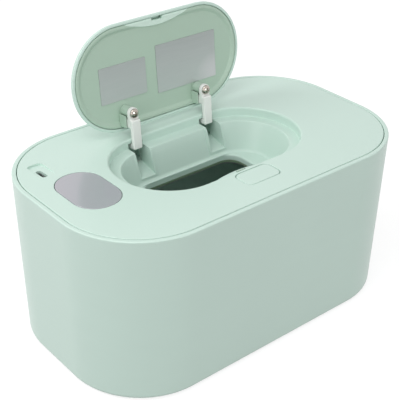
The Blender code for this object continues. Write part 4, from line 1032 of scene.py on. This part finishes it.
def makeLidInner():
    l = lid
    outer = l["rim"] + l["linerGap"]
    inner = outer + l["bead"]
    profile = [(inner + l["flank"] + 1.0, -l["recess"])]
    for step in range(11):  # the bead's flank falls to the panel in a soft curve
        share = 1 - step / 10
        profile.append((inner - 0.6 + (l["flank"] + 0.6) * share,
                        -l["recess"] * (1 - math.cos(math.pi * share)) / 2))
    profile += ellipse((outer + l["beadEdge"], 0), (outer, -l["beadEdge"]), (outer, 0), 7)
    profile += [(outer, -l["side"]), (outer + l["slope"], -l["recess"] - l["panel"])]
    piece = loft("lidInner", [lidRing(*p) for p in profile], "liner")
    frontY = lidY(2 * l["halfY"])
    root = l["recess"] + l["panel"] / 2
    rings = []
    for shrink, drop in ((0.5, 0.0), (0.2, 0.08), (0.0, 0.4)):
        outline = crescentOutline(l["padHalf"] - shrink, l["padReach"] - shrink, frontY + inner - 0.5, 1.0)
        rings.append(lifted(outline, l["padDrop"] + drop))
    rings.append([(x, y, root) for x, y, z in rings[-1]])
    carve(piece, loft("pad", rings), how="UNION")
    carve(piece, block("catch", (-l["catchWidth"], frontY + l["catchFront"] - l["catchSlot"] / 2, -2.0),
                       (l["catchWidth"], frontY + l["catchFront"] + l["catchSlot"] / 2, 3.7)))
    for side in (-1, 1):
        middle, bossY = side * hinge["x"], lidY(l["bossRear"])
        boss = bevelled(rod("boss", (middle, bossY, (root - l["bossHeight"]) / 2), (0, 0, 1), l["bossRadius"],
                            root + l["bossHeight"]), 0.25, 2)
        guides = []
        for hand in (-1, 1):
            ends = sorted((middle + hand * l["guideInner"],
                           middle + hand * (l["guideInner"] + l["guideWall"])))
            guides.append(bevelled(block("guide", (ends[0], lidY(l["guideEnd"]), -l["guideHeight"]),
                                         (ends[1], lidY(l["guideStart"]), root)), 0.22, 2))
        carve(piece, boss, *guides, how="UNION")
        carve(piece, rod("bore", (middle, bossY, -l["bossHeight"] / 2 - 1.0), (0, 0, 1), 1.6,
                         l["bossHeight"] + 2.0,
                         sides=24))
    hung(smoothOver(piece), "mint_satin", "lid_liner")


plates = {
    "blankPlateLeft": {"node": "blank_plate_left", "x": -26.8, "rear": 30.0, "width": 33.0, "height": 22.0},
    "blankPlateRight": {"node": "blank_plate_right", "x": 20.3, "rear": 30.7, "width": 45.4, "height": 29.7},
}


def makePlates():
    for name, p in plates.items():
        face = lid["recess"] - 0.1
        rings = [lifted(rounded(p["width"] / 2 - shrink, p["height"] / 2 - shrink, 0.7 - shrink,
                                (p["x"], lidY(p["rear"])),
                                6), face - rise) for shrink, rise in ((0, 0), (0, 0.17), (0.08, 0.25))]
        hung(smoothOver(loft(name, rings, "foil")), "label_silver", p["node"])


arm = {"half": 3.1, "eye": 2.4, "leg": 1.7, "back": 7.0, "thick": 2.8, "end": 8.6, "headStart": 3.5,
       "headBack": 3.2,
       "tabHalf": 3.4, "tab": 2.4, "tabBack": 5.4, "edge": 0.8}


def armOutline():
    a = arm
    lean = math.asin(a["leg"] / a["eye"])
    steps = 26
    points = []
    for step in range(steps + 1):
        angle = lean + (2 * math.pi - 2 * lean) * step / steps
        points.append((a["eye"] * math.sin(angle), -a["eye"] * math.cos(angle)))
    front, end = a["back"] + a["thick"], lidY(a["end"])
    return points + [(-a["leg"], -a["back"]), (end, -a["back"]), (end, -front), (a["leg"], -front)]


def makeArm(side, label):
    a, middle = arm, side * hinge["x"]
    piece = sidePrism("hingeArm" + label, armOutline(), middle - a["half"], middle + a["half"], "nylon")
    bevelled(piece, a["edge"], 3)
    front, centreY = a["tabBack"] + a["tab"], lidY(lid["bossRear"])
    arc = [(middle + a["tabHalf"] * math.cos(math.pi * (1 + i / 26)),
            centreY + a["tabHalf"] * math.sin(math.pi * (1 + i / 26))) for i in range(27)]
    rootY = lidY((a["headStart"] + a["end"]) / 2)
    outline = arc + [(middle + a["half"], rootY), (middle - a["half"], rootY)]
    tab = bevelled(loft("tab", [lifted(outline, -front), lifted(outline, -a["tabBack"])]), 0.4, 3)
    head = bevelled(block("head", (middle - a["half"], lidY(a["end"]), -a["back"] - 0.5),
                          (middle + a["half"], lidY(a["headStart"]), -a["headBack"])), 0.3, 2)
    carve(piece, head, tab, how="UNION")
    bore = rod("bore", (middle, 0, 0), (1, 0, 0), 1.45, 12.0, sides=24)
    hole = rod("hole", (middle, centreY, -a["tabBack"] - 1.2), (0, 0, 1), 1.7, 4.4, sides=24)
    carve(piece, bore, hole)
    hung(smoothOver(piece), "white_nylon", "hinge_arm_" + label.lower())
    screw = crossScrew("armScrew" + label, 2.9, 1.6, 1.3, 6.8, "screw")
    seat = Matrix.Translation(Vector((middle, centreY, -front - 0.3)) * mm)
    turn = Matrix.Rotation(math.radians(25 + 40 * side), 4, "Z")
    shifted(screw, seat @ Matrix.Rotation(math.pi, 4, "X") @ turn)
    hung(screw, "screw_steel", "arm_screw_" + label.lower())


# Finishes of the solids that stay as they are

# The heater tray takes the inner finish, whose darker mint is painted shade.
solidFinishes = {
    "heater_tray": "inner", "latch": "latch", "latch_bracket": "latch", "heating_film": "film",
    "heater_plate": "plate", "temperature_sensor": "black", "thermal_cutoff": "plate", "main_board": "board",
    "control_chip": "black", "display_module": "black", "hinge_pin_left": "wire", "hinge_pin_right": "wire",
    "heater_wire_live": "lead", "heater_wire_return": "lead", "sensor_lead": "lead",
}


def finishSolids():
    for node, finish in solidFinishes.items():
        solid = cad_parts[node]
        solid.data.materials.clear()
        solid.data.materials.append(finishes[finish])


# Studio

studio = {
    "azimuth": -40.0074, "elevation": 30.8189, "distance": 2.71230 * 225, "aside": -0.018691 * 225,
    "raised": 0.258860 * 225, "roll": 0.807139, "lens": 954.1105 / 400 * 36,
    "sky": 0.57, "floorColour": 0.30, "floorGlow": 0.80,
    "lamps": [
        {"name": "overhead softbox", "place": (-560, -240, 1140), "size": 800, "power": 3.9,
         "aim": (0, 0, 70)},
        {"name": "rear left softbox", "place": (-800, 500, 900), "size": 600, "power": 4.2,
         "aim": (0, 0, 70)},
        {"name": "left fill", "place": (-1300, -300, 500), "size": 600, "power": 2.35, "aim": (0, 0, 70)},
        {"name": "low front fill", "place": (200, -1350, 200), "size": 360, "power": 3.2, "aim": (0, 0, 70)},
    ],
}


def makeCamera():
    s = studio
    a, e, r = (math.radians(s[key]) for key in ("azimuth", "elevation", "roll"))
    back = Vector((math.sin(a) * math.cos(e), -math.cos(a) * math.cos(e), math.sin(e)))
    right = (-back).cross(Vector((0, 0, 1))).normalized()
    up = right.cross(-back)
    place = back * s["distance"] + right * s["aside"] + up * s["raised"] + Vector((0, 0, casing["foot"]))
    rolledRight, rolledUp = math.cos(r) * right + math.sin(r) * up, math.cos(r) * up - math.sin(r) * right
    data = bpy.data.cameras.new("photo camera")
    data.lens, data.sensor_width, data.clip_start = s["lens"], 36.0, 0.01
    camera = bpy.data.objects.new("photo camera", data)
    bpy.context.scene.collection.objects.link(camera)
    turn = Matrix((rolledRight, rolledUp, back)).transposed().to_4x4()
    camera.matrix_world = Matrix.Translation(place * mm) @ turn
    bpy.context.scene.camera = camera


def seenDirectly(start):
    # 1 for rays that see the background itself, in a mirror or through glass.
    path = start.node("ShaderNodeLightPath")
    outputs = path.socket.node.outputs
    camera, glossy, through = (Wire(start.tree, outputs[name]) for name in (
        "Is Camera Ray", "Is Glossy Ray", "Is Transmission Ray"))
    return (camera + glossy + through).clamped()


def makeWorld():
    world = bpy.data.worlds.new("white studio")
    bpy.context.scene.world = world
    world.use_nodes = True
    world.node_tree.nodes.clear()
    start = Wire(world.node_tree)
    direct = seenDirectly(start)
    sky = start.node("ShaderNodeBackground", {},
                     {"Color": (1, 1, 1, 1), "Strength": direct * (1 - studio["sky"])
                                                  + studio["sky"]})
    start.node("ShaderNodeOutputWorld", {}, {"Surface": sky})


def makeFloor():
    floor = block("floor", (-4000, -4000, -20), (4000, 4000, 0))
    material = bpy.data.materials.new("white floor")
    material.use_nodes = True
    material.node_tree.nodes.clear()
    start = Wire(material.node_tree)
    direct = seenDirectly(start)
    tone = studio["floorColour"]
    shader = start.node("ShaderNodeBsdfPrincipled", {}, {
        "Base Color": (tone, tone, tone, 1), "Roughness": 0.9, "Emission Color": (1, 1, 1, 1),
        "Emission Strength": direct * studio["floorGlow"], "Specular IOR Level": 0.1})
    start.node("ShaderNodeOutputMaterial", {}, {"Surface": shader})
    floor.data.materials.append(material)


def makeLamps():
    for lamp in studio["lamps"]:
        data = bpy.data.lights.new(lamp["name"], "AREA")
        data.shape, data.size, data.energy = "DISK", lamp["size"] * mm, lamp["power"]
        piece = bpy.data.objects.new(lamp["name"], data)
        bpy.context.scene.collection.objects.link(piece)
        place, aim = Vector(lamp["place"]) * mm, Vector(lamp["aim"]) * mm
        piece.location = place
        piece.rotation_euler = (aim - place).to_track_quat("-Z", "Y").to_euler()


makeCamera()
makeWorld()
makeFloor()
makeLamps()
print("studio ready")
makeCasing()
makeFeet()
print("casing ready")
makeCover()
print("cover ready")
makeWindow()
makeButton()
makeInlet()
makeSmallScrews()
makeHingeSprings()
makeButtonSprings()
print("fittings ready")
makeLidTop()
makeLidInner()
makePlates()
makeArm(-1, "Left")
makeArm(1, "Right")
print("lid ready")
finishSolids()

bpy.context.scene.view_settings.view_transform = "Standard"
